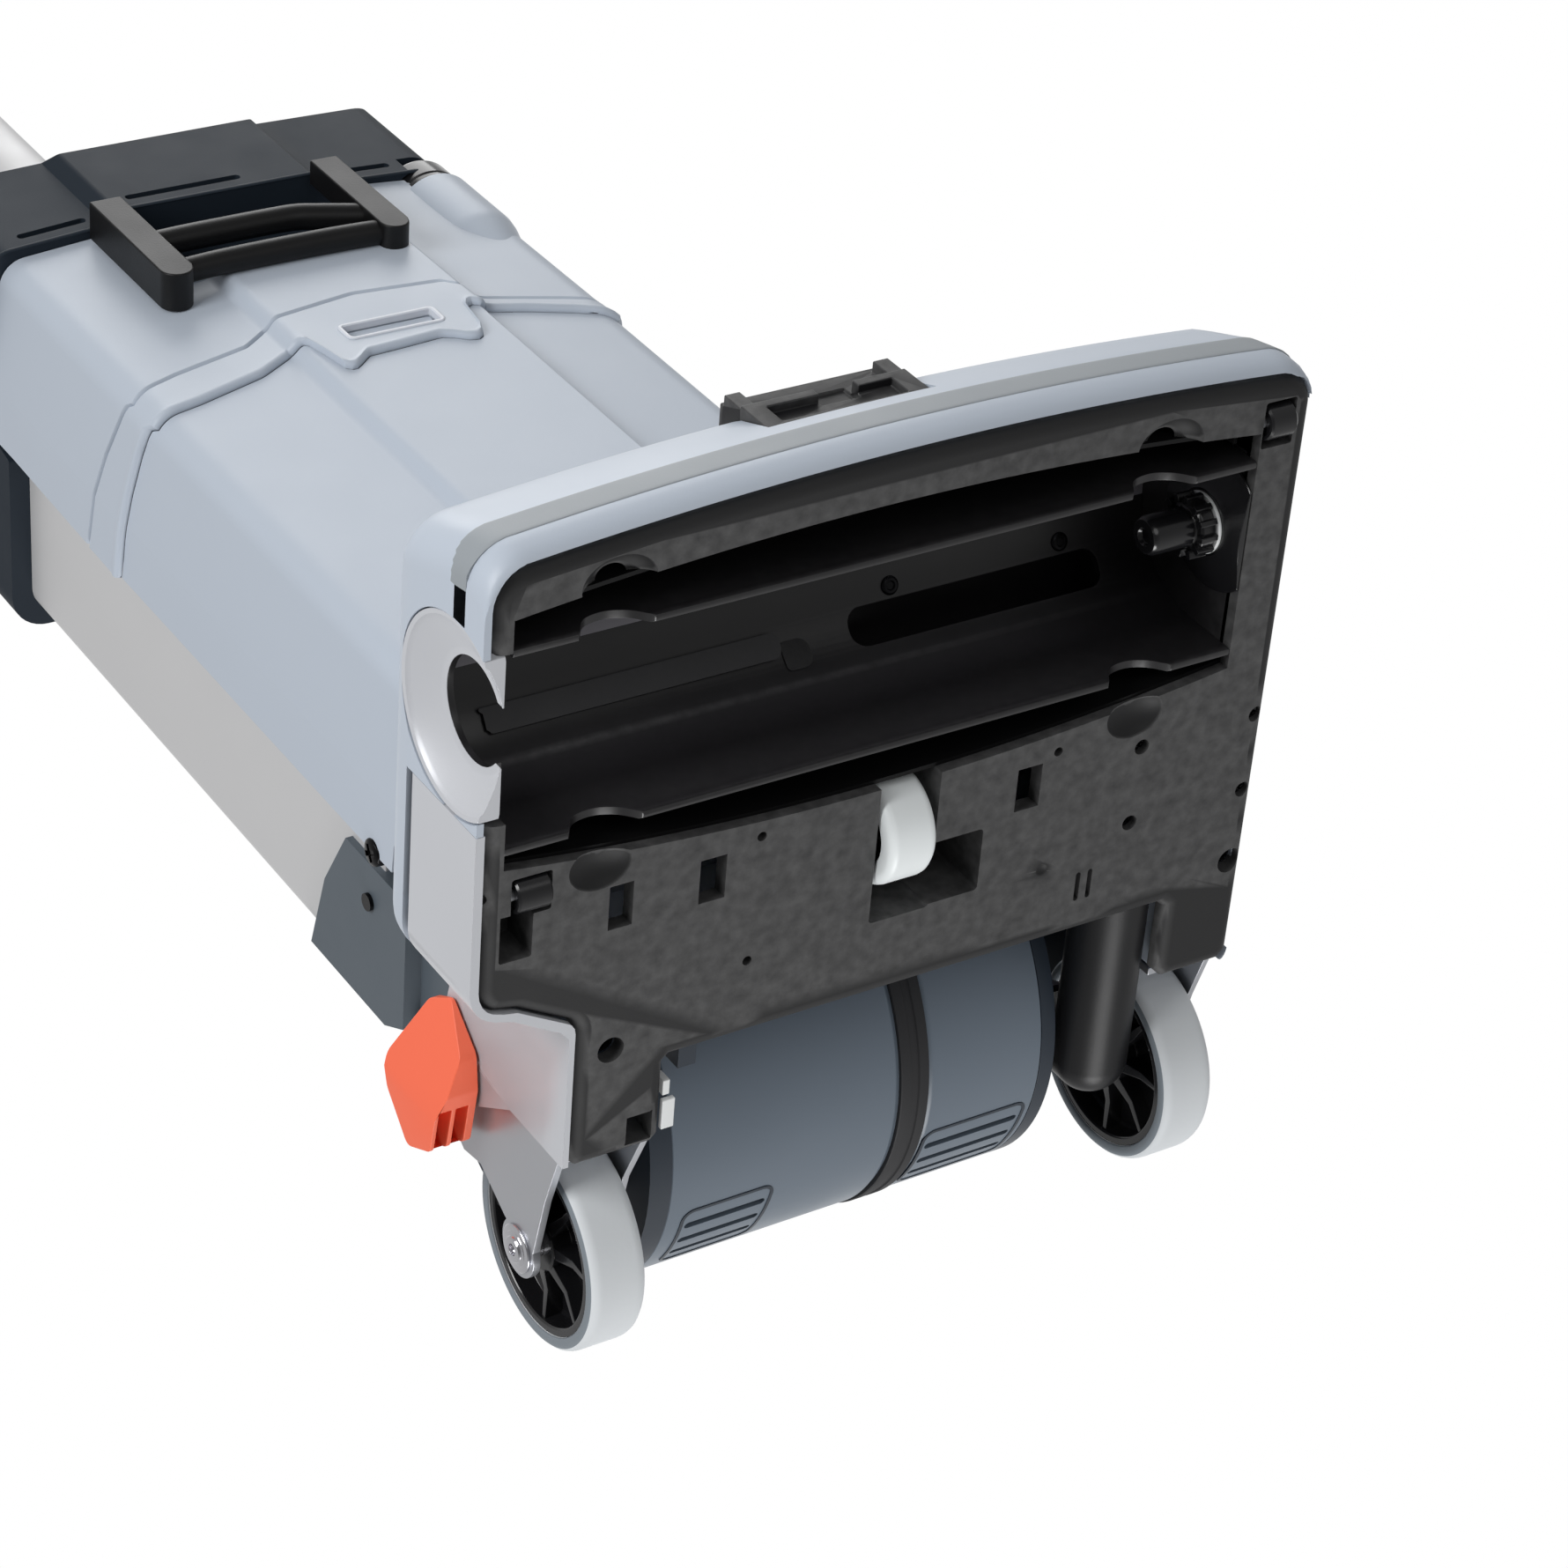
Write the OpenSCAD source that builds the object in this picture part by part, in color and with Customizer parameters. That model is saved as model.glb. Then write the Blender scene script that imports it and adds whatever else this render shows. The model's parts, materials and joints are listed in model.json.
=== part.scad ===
// Commercial upright vacuum cleaner, parked upright, brush roller taken out.
// X = user's right (standing behind it), Y = forward, Z = up, millimetres.
// The floor is z = 0. The body leans back about the motor's own axis.

/* [Cleaning head] */
// Overall width of the cleaning head
head_w = 315; // [300:1:400]
// Height of the base plate's underside above the floor
plate_z = 8; // [5:0.5:12]
// Thickness of the base plate
plate_t = 4; // [3:0.5:6]
// Height of the head cover's flat top
cover_h = 80; // [72:1:84]
// Wall of the moulded covers
wall = 2.6; // [2:0.1:4]

/* [Brush chamber] */
// Brush axis, forward of the plate's rear edge
brush_y = 145; // [142:1:147]
// Brush axis above the floor
brush_z = 26; // [24:1:28]
// Inner radius of the brush chamber
chamber_r = 35; // [33:0.5:36]
// Radius of the round opening the brush is pulled out through
port_r = 15; // [14:0.5:16]
// Radius of the stub shaft that drives the brush
stub_r = 7; // [5:0.5:7]

/* [Wheels and rollers] */
// Radius of the two rear wheels
wheel_r = 40; // [36:0.5:44]
// Width of the rear wheels
wheel_w = 22; // [18:0.5:26]
// Wheel axis behind the plate's rear edge
axle_y = -91; // [-100:1:-85]
// Radius of the wheel axles
axle_r = 5; // [4:0.5:6]
// Radius of the centre support roller
roller_r = 20; // [18:0.5:21]

/* [Motor and recline] */
// Outer radius of the motor housing
motor_r = 80; // [70:1:80]
// Motor and recline axis, relative to the plate's rear edge
motor_y = -71; // [-76:1:-66]
// Motor and recline axis above the floor
motor_z = 105; // [100:1:115]
// Radius of the trunnions the body turns on
trunnion_r = 30; // [20:1:36]
// Travel of the foot pedal in degrees
pedal_travel = 14; // [6:1:18]

/* [Body] */
// Height of the seam between bag door and upper shell
seam_z = 400; // [380:1:420]
// Height of the lower edge of the top cover
cover_z0 = 527; // [500:1:540]
// Height of the top of the top cover
cover_z1 = 645; // [620:1:660]
// Height of the top of the handle grip
top_z = 1220; // [1100:1:1250]
// Radius of the handle tube
tube_r = 20; // [16:0.5:22]

/* [View] */
// Which sub-part to show

/* [Hidden] */
$fn = 64;
y_mid = 33.6;                      // half of front (219) plus rear (-151.8)
hw = head_w/2 + 2.5;                // user's left side of the head
rw = head_w/2 - 2.5;                // user's right side of the head
pz1 = plate_z + plate_t;
bx = -11;                          // middle of body and motor across the width

c_shell = [0.76, 0.80, 0.85];
c_silver = [0.84, 0.85, 0.87];
c_black = [0.10, 0.10, 0.105];
c_dark = [0.28, 0.32, 0.36];
c_navy = [0.16, 0.20, 0.24];
c_motor = [0.36, 0.41, 0.48];
c_tyre = [0.82, 0.84, 0.86];
c_metal = [0.80, 0.80, 0.80];
port_x = -104.5;                   // round port at the shell's corner
port_y = 46;
chamber_y = 138;                   // axis of the round chamber, a little behind the brush
chamber_z = 31;
pipe_x = -130.6;                   // rigid suction pipe behind the body
pipe_y = -66;
duct_x = -116;                     // suction duct under the head
duct_y = -74;

module at() translate([2.5, -y_mid, 0]) children();
module xcyl(r, x0, x1, y, z) translate([x0, y, z]) rotate([0, 90, 0]) cylinder(r = r, h = x1 - x0);
module ycyl(r, y0, y1, x, z) translate([x, y1, z]) rotate([90, 0, 0]) cylinder(r = r, h = y1 - y0);
module zcyl(r, z0, z1, x, y) translate([x, y, z0]) cylinder(r = r, h = z1 - z0);
module bx3(x0, x1, y0, y1, z0, z1) translate([x0, y0, z0]) cube([x1 - x0, y1 - y0, z1 - z0]);
module xpoly(x0, x1, pts) rotate([90, 0, 90]) translate([0, 0, x0]) linear_extrude(x1 - x0) polygon(pts);
module zpoly(z0, z1, pts) translate([0, 0, z0]) linear_extrude(z1 - z0) polygon(pts);
module xring(ro, ri, x0, x1, y, z) difference() { xcyl(ro, x0, x1, y, z); xcyl(ri, x0 - 1, x1 + 1, y, z); }
function arc(cx, cy, r, a0, a1, n = 6) = [for (i = [0:n]) let (a = a0 + (a1 - a0)*i/n) [cx + r*cos(a), cy + r*sin(a)]];

// Plan of the head cover, pulled in by d
function front_y(x) = 217 - 0.00034*pow(x + 15, 2);
function head_plan(d) = concat(
  arc(rw - 16, front_y(rw - 16) - 16, 16 - d, 0, 90),
  [for (i = [1:11]) let (x = (rw - 16) - i*(rw + hw - 32)/12) [x, front_y(x) - d]],
  arc(-hw + 16, front_y(-hw + 16) - 16, 16 - d, 90, 180),
  [[-hw + d, -34 + d], [-130 - d, -34 + d], [-130 - d, 14 + d], [82 + d, 14 + d], [82 + d, -20 + d], [117 - d, -20 + d], [117 - d, 22 + d]],
  arc(rw - 14 , 50, 14 - d, -76, 0));
// Side profile of the head cover, pulled in by d
function head_side(d) = [[-60, -1], [-60, cover_h - 12 - d], [-22, cover_h - d], [140, cover_h - d], [176, 76 - d], [203 - d, 66 - d], [214.5 - d, 34], [217 - d, 20], [217 - d, -1]];

module head_solid(d) intersection() {
  zpoly(plate_z, 100, head_plan(d));
  xpoly(-hw, rw, head_side(d));
  union() {
    bx3(-hw + d, rw - d, -60, 230, -1, cover_h - 26);
    bx3(-hw + 26, rw - 26, -60, 230, -1, cover_h);
    for (x = [26 - hw, rw - 26]) ycyl(26 - d, -60, 230, x, cover_h - 26);
  }
}

// Outline of the base plate
function plate_y(x) = 211.5 - 0.00034*pow(x + 15, 2);
function plate_plan() = concat(
  arc(139.5, 191.5, 12, 0, 90),
  [for (i = [1:11]) let (x = 139.5 - i*287/12) [x, plate_y(x)]],
  arc(-147.5, 193.5, 12, 90, 180),
  [[-159.5, -34], [-127, -34], [-127, 0], [79, 0], [79, -35], [114.5, -35]],
  arc(120.5, 22, 6, 180, 110, 3), [[137, 38]], arc(139.5, 50, 12, -60, 0, 4));
function mouth_front(x) = 195 - 0.00042*pow(x - 3, 2);
function mouth_rear(x) = 85 + 0.0005*pow(x - 3, 2);
m0 = -139; m1 = 144.6;
function xs(n = 10) = [for (i = [0:n]) m0 + (m1 - m0)*i/n];
// Edge of the plate round the narrow wall beside the right leg, moved out by d
function leg_edge(d) = concat(arc(139.5, 50, 12 + d, 0, -60, 4), [[137, 38 - d]], arc(120.5, 22, 6 - d, 110, 180, 3), [[114.5 + d, -20]]);

module base_plate() at() color(c_black) difference() {
  union() {
    zpoly(plate_z, pz1, plate_plan());
    // wells for the rollers and the legs' edge ribs
    bx3(-44, 4, 29, 83, pz1 - 1, 43);
    bx3(125, 147, 57, 81.9, pz1 - 1, 26);
    bx3(-155, -142.3, 179, 196, pz1 - 1, 27);
    bx3(79, 82, -35, 0, pz1 - 1, 22);
    bx3(79, 113.8, -35, -32, pz1 - 1, 22);
    bx3(-157.2, -133.2, -31.2, -28.2, pz1 - 1, 22);
    // boss that carries the suction duct
    bx3(-129.8, -95, 0, 6, pz1 - 1, 42);
  }
  // whole mouth at plate level: brush, and the air pockets in front of and behind it
  zpoly(plate_z - 1, pz1 + 1, concat([for (x = xs()) [x, mouth_rear(x)]], [for (i = [10:-1:0]) [xs()[i], mouth_front(xs()[i])]]));
  // dished pads on the rear edge and round dips on the front edge
  for (x = [108, -101]) {
    ycyl(13, 176, 197.5, x, plate_z - 6);
    translate([x, 89, plate_z - 0.01]) cylinder(r1 = 11, r2 = 3, h = 3.2);
  }
  // room for the brush port on the user's right
  bx3(m1 - 0.2, 170, 112.5, 177.2, plate_z - 1, pz1 + 1);
  // wells
  bx3(-22, 2, 31, 84, plate_z - 1, 41);
  bx3(-42, -21, 32, 57, plate_z - 1, 38);
  bx3(127, 141, 76, 84, plate_z - 1, 24);
  bx3(127, 141, 76, 90.5, plate_z - 1, pz1 + 6);
  bx3(133, 145, 59, 77, plate_z - 1, 24);
  bx3(-152, -139.5, 181, 198, plate_z - 1, 25);
  // duct passage
  ycyl(11.5, -1, 7, duct_x, 26);
  // square and round holes
  for (h = [[96, 105, 60, 77], [61, 71, 60, 77], [-64, -54, 60, 77], [82.9, 93, -31.9, -20]]) bx3(h[0], h[1], h[2], h[3], plate_z - 1, pz1 + 1);
  for (h = [[48, 80, 1.8], [50, 31, 1.8], [-70, 80, 1.8], [-106, 72, 3], [-105, 41, 3], [-155, 72, 3], [-154, 41, 3], [-153, 11, 5], [101, 11, 5]])
    zcyl(h[2], plate_z - 1, pz1 + 1, h[0], h[1]);
  zcyl(3, plate_z - 1, plate_z + 1, -69, 32);
  // grooves the corner rollers' axles lie in
  xcyl(2.2, 124, 144, 83, 11);
  xcyl(2.2, -155, -137, 189.5, 11);
  xcyl(3.2, -25, 5, 62, roller_r);
}

// Round roof of the brush chamber with the two lips that reach down to the plate's underside
module brush_tunnel() at() color(c_black) difference() {
  union() {
    intersection() {
      xring(chamber_r + 3, chamber_r, m0 + 0.1, m1 - 0.1, chamber_y, chamber_z);
      bx3(m0, m1, 90, 190, chamber_z, 90);
    }
    for (y = [100, 173]) bx3(m0 + 0.1, m1 - 0.1, y, y + 3, plate_z, chamber_z);
  }
  // round dips in the lips
  for (x = [108, -101]) ycyl(15, 95, 179, x, plate_z - 1);
  // suction mouth in the roof
  bx3(-122, -20, 112, 124, 50, 72);
}
module tunnel_end(x0, x1) union() {
  xcyl(chamber_r + 3, x0, x1, chamber_y, chamber_z);
  bx3(x0, x1, 84, 198, pz1, 44);
}
module tunnel_end_right() at() color(c_black) difference() {
  intersection() { tunnel_end(m1, 147); bx3(140, 150, 80, 200, pz1 + 0.1, 80); }
  xcyl(port_r + 3, 140, 150, brush_y, brush_z);
  bx3(140, 150, brush_y - 11.2, brush_y + 11.2, 0, brush_z);
}
module tunnel_end_left() at() color(c_black) difference() {
  union() {
    intersection() { tunnel_end(-142, m0); bx3(-150, -130, 80, 200, pz1 + 0.1, 80); }
    // conical boss that carries the drive coupling
    intersection() {
      translate([m0 - 0.1, brush_y, brush_z]) rotate([0, 90, 0]) cylinder(r1 = 26, r2 = 12, h = 5.1);
      bx3(-150, -130, 80, 200, plate_z, 80);
      xcyl(chamber_r - 0.2, -150, -130, chamber_y, chamber_z);
      union() { bx3(m0 + 0.2, -130, 80, 200, 0, 80); bx3(-150, -130, 80, 200, pz1 + 0.1, 80); }
    }
  }
  xcyl(7.05, -150, -130, brush_y, brush_z);
  // room for the front corner roller and its axle
  bx3(-145, -139.9, 181, 199, 0, 19);
  xcyl(2.5, -145, -130, 189.5, 11);
}
module air_guide_front() at() color(c_black) difference() {
  union() {
    zpoly(41, 44, concat([for (x = xs()) [x, 176.2]], [for (i = [10:-1:0]) [xs()[i], mouth_front(xs()[i]) + 2.4]]));
    zpoly(pz1, 42, concat([for (x = xs()) [x, mouth_front(x)]], [for (i = [10:-1:0]) [xs()[i], mouth_front(xs()[i]) + 2.4]]));
  }
  xcyl(2.5, -145, -130, 189.5, 11);
}
module air_guide_rear() at() color(c_black) union() {
  zpoly(30, 33, concat([for (x = xs()) [x, mouth_rear(x) - 1.8]], [for (i = [10:-1:0]) [xs()[i], 99.8]]));
  zpoly(pz1, 31, concat([for (x = xs()) [x, mouth_rear(x) - 1.8]], [for (i = [10:-1:0]) [xs()[i], mouth_rear(xs()[i])]]));
}

module head_cover() at() color(c_shell) difference() {
  head_solid(0);
  difference() { head_solid(wall); bx3(-200, 200, 7, 300, 0, 0.1); }
  // open underside: the base plate fits here
  zpoly(plate_z - 1, pz1 + 0.5, concat(arc(140, 192, 12.3, 0, 90), [for (i = [1:11]) let (x = 140 - i*287.5/12) [x, plate_y(x) + 0.5]], arc(-147.5, 193.6, 12.5, 90, 180), [[-161, -60], [200, -60], [200, 45], [152, 45]]));
  // the user's right rear is the separate side panel
  zpoly(0, 54, [[107, -80], [200, -80], [200, 110.4], [152, 110.4], [152, 58], [146, 42], [130, 37.5], [113.8, 30], [113.8, -17]]);
  bx3(100, 200, -80, 20, 0, 100);
  xcyl(34.8, 140, 170, brush_y, brush_z);
  bx3(140, 170, brush_y - 34.8, brush_y + 34.8, 0, brush_z);
  bx3(-30, 34, 196, 230, 44, 90);
  bx3(-30, 34, 176, 230, 60, 90);
  // clearance for the motor and for its belt case
  xcyl(motor_r + 4, -131, 90, motor_y, motor_z);
  xpoly(-159.5, -141, belt_loop(31));
  bx3(-hw + wall, -141, -60, 20, 62, 100);
  bx3(-200, 200, -70, 16, cover_h - 30, 100);
  // recess line for the bumper
  intersection() {
    difference() { zpoly(20, 34, head_plan(-3)); zpoly(19, 35, head_plan(1.2)); }
    bx3(-200, 200, 180, 230, 0, 60);
  }
}

module bumper() at() color([0.63, 0.66, 0.68]) difference() {
  intersection() {
    union() {
      difference() { zpoly(20, 34, head_plan(-0.2)); zpoly(19, 35, head_plan(1.2)); }
      difference() { zpoly(23, 31, head_plan(-2)); zpoly(22, 35, head_plan(1.2)); }
    }
    bx3(-hw, rw, 180, 219, 0, 60);
  }
}

module front_insert() at() color(c_black) difference() {
  union() {
    bx3(-29.5, 33.5, 196.3, 209, 44.3, 62);
    bx3(-29.5, 33.5, 176.3, 204, 60.3, 74);
    bx3(-15, 12, 184, 202, 74, 77);
    for (x = [-29.5, 27.5]) bx3(x, x + 6, 186, 208, 62, 72);
  }
  bx3(-22, 26, 206, 212, 48, 58);
  bx3(-9, 6, 203, 212, 56, 66);
}

module side_panel() at() color(c_silver) difference() {
  union() {
    // long side wall, the step inwards, the narrow wall beside the leg
    zpoly(plate_z, 50, concat([[rw, 110.2], [152.2, 110.2]], arc(rw - 14, 50, 11.2, 0, -62), [[137.5, 37.1], [119.3, 26.8], [114.8, 22], [114.8, -73], [117, -73], [117, 20.4], [120.6, 24.3], [138.4, 34.5]], arc(rw - 14, 50, 14, -72, 0)));
    // narrow wall goes higher
    xpoly(114.8, 117, [[20, 49], [20, 70], [8, 84], [-20, 91], [-56, 88], [-73, 86], [-60, 49]]);
    // floor lip around the plate
    zpoly(plate_z, plate_z + 2.4, concat([[rw - 1, 110.2], [151.8, 110.2]], leg_edge(0.3), [[116, -20], [116, 20.8], [120, 25], [138, 35.2]], arc(rw - 14, 50, 13.5, -72, 0)));
  }
  // rear lower cut that leaves room for the wheel
  xpoly(110, 120, [[-33, 0], [-33, 44], [-55, 80], [-55, 89], [-90, 100], [-90, 0]]);
  // hole for the pedal's pivot
  xcyl(4.4, 110, 120, -30, 74);
}

module brush_port() at() color(c_silver) difference() {
  union() {
    xcyl(34.5, 147.2, rw - 1, brush_y, brush_z);
    xcyl(port_r + 2.8, m1 - 0.4, 147.3, brush_y, brush_z);
    bx3(m1 + 0.1, 151, 113, 174.6, plate_z, pz1 - 0.1);
  }
  // two-step conical dish
  translate([147.2, brush_y, brush_z]) rotate([0, 90, 0]) cylinder(r1 = port_r + 2.2, r2 = 25, h = 1.6);
  translate([148.79, brush_y, brush_z]) rotate([0, 90, 0]) cylinder(r1 = 25, r2 = 33, h = rw - 149.7);
  xcyl(port_r, 140, 170, brush_y, brush_z);
  // open underside
  bx3(140, 170, brush_y - 11, brush_y + 11, 0, brush_z);
  bx3(140, 170, brush_y - 40, brush_y + 40, -20, plate_z);
}

// Plate fork at one wheel: x0..x1 is its thickness
module fork(x0, x1) difference() {
  union() {
    xpoly(x0, x1, [[-35.3, 16], [-35.3, 46], [-55, 79], [-72, 86], [-76, 80], [-74, 68], [-84, 50], [-91, 31], [-60, 24]]);
    xcyl(11, x0, x1, axle_y, wheel_r);
  }
  xcyl(axle_r, x0 - 1, x1 + 1, axle_y, wheel_r);
}
module bracket_right() at() color(c_metal) union() {
  fork(110.6, 113.6);
  difference() {
    union() {
      xpoly(80.2, 83, [[-35.3, 13], [-35.3, 46], [-50, 50], [-80, 46], [-91, 31], [-60, 24]]);
      xcyl(9, 80.2, 83, axle_y, wheel_r);
    }
    xcyl(axle_r, 79, 84, axle_y, wheel_r);
  }
  bx3(80.2, 113.6, -38.3, -35.3, 16, 46);
}
module bracket_left() at() color(c_metal) union() {
  difference() {
    union() {
      xpoly(-159.6, -157, [[-34.3, 16], [-34.3, 50], [-52, 72], [-70, 72], [-84, 50], [-91, 31], [-60, 24]]);
      xcyl(11, -159.6, -157, axle_y, wheel_r);
    }
    xcyl(axle_r, -161, -156, axle_y, wheel_r);
  }
  bx3(-159.6, -130, -37.3, -34.3, 16, 46);
}
module axle_right() at() color(c_metal) union() {
  difference() { xcyl(axle_r, 79, 116, axle_y, wheel_r); xcyl(2, 113.5, 117, axle_y, wheel_r); }
  xring(7, axle_r, 113.6, 115, axle_y, wheel_r);
}
module axle_left() at() color(c_metal) union() {
  xcyl(axle_r, -159.9, -130, axle_y, wheel_r);
  xcyl(8, -131.6, -129, axle_y, wheel_r);
}

module tyre(xc) rotate([0, 90, 0]) translate([0, 0, xc]) rotate_extrude() polygon(concat(
  [[wheel_r - 5.5, -wheel_w/2 + 0.8], [wheel_r - 3, -wheel_w/2]],
  arc(wheel_r - 3, -wheel_w/2 + 3, 3, -90, 0, 4), arc(wheel_r - 3, wheel_w/2 - 3, 3, 0, 90, 4),
  [[wheel_r - 3, wheel_w/2], [wheel_r - 5.5, wheel_w/2 - 0.8]]));
module hub(xc) difference() {
  union() {
    xring(wheel_r - 5.5, wheel_r - 9, xc - wheel_w/2 + 1, xc + wheel_w/2 - 1, 0, 0);
    xcyl(11, xc - wheel_w/2 + 0.5, xc + wheel_w/2 - 0.5, 0, 0);
    xcyl(wheel_r - 8, xc - 1.6, xc + 1.6, 0, 0);
    for (i = [0:5]) rotate([60*i, 0, 0]) bx3(xc - 7.5, xc + 7.5, -1.2, 1.2, 9, wheel_r - 8);
  }
  xcyl(axle_r + 0.05, xc - 20, xc + 20, 0, 0);
}
module tyre_right() at() color(c_tyre) translate([0, axle_y, wheel_r]) tyre(96);
module hub_right() at() color(c_black) translate([0, axle_y, wheel_r]) hub(96);
module tyre_left() at() color(c_tyre) translate([0, axle_y, wheel_r]) tyre(-144.5);
module hub_left() at() color(c_black) translate([0, axle_y, wheel_r]) hub(-144.5);

module centre_roller() at() color(c_tyre) difference() {
  union() {
    translate([-8.5, 62, roller_r]) rotate([0, 90, 0]) rotate_extrude() polygon(concat(
      [[12, -9.5]], arc(roller_r - 2.5, -7, 2.5, -90, 0, 4), arc(roller_r - 2.5, 7, 2.5, 0, 90, 4), [[12, 9.5]]));
    xcyl(12.5, -13, -4, 62, roller_r);
    xcyl(3, -24.5, 4.5, 62, roller_r);
  }
}
module corner_axles() at() color(c_metal) union() {
  xcyl(2.2, 124.2, 143.8, 83, 11);
  xcyl(2.2, -154.8, -137.2, 189.5, 11);
}
module corner_roller_rear() at() color(c_black) difference() { xcyl(6.6, 127.8, 140.2, 83, 11); xcyl(2.25, 120, 150, 83, 11); }
module corner_roller_front() at() color(c_black) difference() { xcyl(6.6, -151.2, -140.4, 189.5, 11); xcyl(2.25, -160, -130, 189.5, 11); }

module motor_housing() at() color(c_motor) difference() {
  xcyl(motor_r, -93, 62, motor_y, motor_z);
  xcyl(motor_r - 3, -90, 63, motor_y, motor_z);
  xcyl(9, -94, -80, motor_y, motor_z);
  // groove for the band
  xring(motor_r + 1, motor_r - 1.2, -44, -32, motor_y, motor_z);
  // cooling slots at both ends, low on the rear
  for (g = [[-78, -52], [6, 50]]) for (a = [196, 203, 210]) for (h = [0])
    translate([0, motor_y, motor_z]) rotate([a, 0, 0]) bx3(g[0], g[1], motor_r - 6, motor_r + 3, -1.6, 1.6);
  // recess for the white rating plate, left blank
}
module motor_band() at() color(c_black) xring(motor_r + 0.8, motor_r - 1.2, -43.8, -32.2, motor_y, motor_z);
module motor_flange_right() at() color(c_navy) union() {
  difference() {
    union() {
      xcyl(motor_r, 62, 71, motor_y, motor_z);
      xcyl(trunnion_r, 70, 84.6, motor_y, motor_z);
    }
    xcyl(trunnion_r - 4, 66, 90, motor_y, motor_z);
    xcyl(motor_r - 3, 61, 67, motor_y, motor_z);
  }
  // saddle arms that bolt the motor to the base plate
  bx3(64, 71, -10, 13, 13, 60);
  bx3(64, 78.5, 1, 13, pz1, 22);
}
module motor_flange_left() at() color(c_navy) union() {
  difference() {
    union() {
      xcyl(motor_r, -99, -93, motor_y, motor_z);
      xcyl(trunnion_r, -104.6, -98, motor_y, motor_z);
    }
    xcyl(12, -112, -92, motor_y, motor_z);
  }
  bx3(-98.9, -93, -10, 0, 43, 60);
  bx3(-98.9, -93, -10, 13, 43, 50);
}
module shaft_sleeve() at() color(c_dark) xring(12, 9, -142, -94, motor_y, motor_z);

// Loop around the two pulleys, r is its half width at the motor end
pull_a = atan2(brush_z - motor_z, brush_y - motor_y);
function belt_loop(r) = concat(arc(motor_y, motor_z, r, pull_a + 90, pull_a + 270, 24), arc(brush_y, brush_z, r, pull_a - 90, pull_a + 90, 24));
module belt_guard() at() color(c_navy) difference() {
  intersection() {
    xpoly(-157, -142.2, belt_loop(24));
    bx3(-160, -140, -120, 300, pz1 + 0.2, 200);
  }
  difference() {
    xpoly(-155, -144.2, belt_loop(22));
    bx3(-160, -140, -120, 300, 0, pz1 + 2.2);
  }
  xcyl(8, -150, -140, brush_y, brush_z);
  xcyl(9, -150, -140, motor_y, motor_z);
}
module drive_belt() at() color(c_black) difference() {
  xpoly(-153.5, -147.5, belt_loop(11.4));
  xpoly(-154, -147, belt_loop(9.6));
}
module motor_rotor() at() color(c_metal) union() {
  xcyl(6, -154.4, 40, motor_y, motor_z);
  xcyl(9.3, -154, -147, motor_y, motor_z);
  xcyl(30, -70, 10, motor_y, motor_z);
}
module brush_drive() at() color(c_black) union() {
  xcyl(7, -147.5, -132, brush_y, brush_z);
  xcyl(9.3, -154, -147, brush_y, brush_z);
  xcyl(10, -132.3, -126, brush_y, brush_z);
  for (i = [0:11]) translate([0, brush_y, brush_z]) rotate([30*i, 0, 0]) bx3(-132.3, -125, -1.3, 1.3, 8.5, 11.6);
  xcyl(stub_r, -126.5, -109, brush_y, brush_z);
}
module drive_ring() at() color([0.93, 0.93, 0.93]) xring(11, 7.4, -133.9, -132.6, brush_y, brush_z);

module suction_duct() at() color(c_black) difference() {
  union() {
    ycyl(14, duct_y, -0.1, duct_x, 26);
    translate([duct_x, duct_y, 26]) sphere(r = 14);
    zcyl(14, 26, 48, duct_x, duct_y);
  }
  ycyl(11.5, duct_y, 1, duct_x, 26);
  translate([duct_x, duct_y, 26]) sphere(r = 11.5);
  zcyl(11.5, 26, 49, duct_x, duct_y);
}

module cable_clip() at() color([0.95, 0.95, 0.95]) union() {
  bx3(76.2, 78.9, -16, -10, 9, 15);
  bx3(74, 78.9, -30, -18, 8.5, 10.5);
}

module base_screws() at() color([0.2, 0.2, 0.21]) for (p = [[-106, 72], [-105, 41], [-155, 72], [-154, 41], [-153, 11], [101, 11]])
  zcyl(2.2, plate_z + 1, plate_z + 9, p[0], p[1]);

module pedal() at() color([1.0, 0.42, 0.26]) difference() {
  union() {
    xcyl(8, 117.6, 120.5, -30, 74);
    xcyl(4.3, 112, 118, -30, 74);
    xpoly(118, 134, [[-11, 83], [-17, 94], [-43, 104], [-55, 100], [-70, 84], [-62, 68], [-38, 64], [-24, 66]]);
  }
  // hollow underside with two ribs
  for (x = [121, 127.5]) xpoly(x, x + 4.8, [[-44, 60], [-44, 72], [-58, 88], [-67, 82], [-60, 60]]);
  // outer edge runs outwards to the rear
  translate([134.2, -48, 50]) rotate([0, 0, 22]) cube([40, 60, 70]);
}

// ---- body ----
// Plan of the body shell, pulled in by d
function body_plan(d) = concat(
  [[98 - d, -18], [96 - d, 6]],
  arc(78, 46, 12 - d, 0, 84, 5),
  [[24 - d*0.2, 63 - d], [20 - d*0.2, 68 - d], [-61 + d*0.2, 68 - d], [-65 + d*0.2, 62.5 - d]],
  arc(-108, 46, 12 - d, 94, 180, 5),
  [[-121 + d, 6], [-122 + d, -18]]);
hinge_z = 181;
swing_r = norm([58, seam_z - hinge_z]);
function seam(o) = concat([[90, seam_z + o]], [for (i = [0:7]) let (y = 40 - 10*i) [y, hinge_z + sqrt(swing_r*swing_r - pow(y + 18, 2)) + o]], [[-40, hinge_z + swing_r + o]]);
function rev(v) = [for (i = [len(v) - 1:-1:0]) v[i]];

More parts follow.
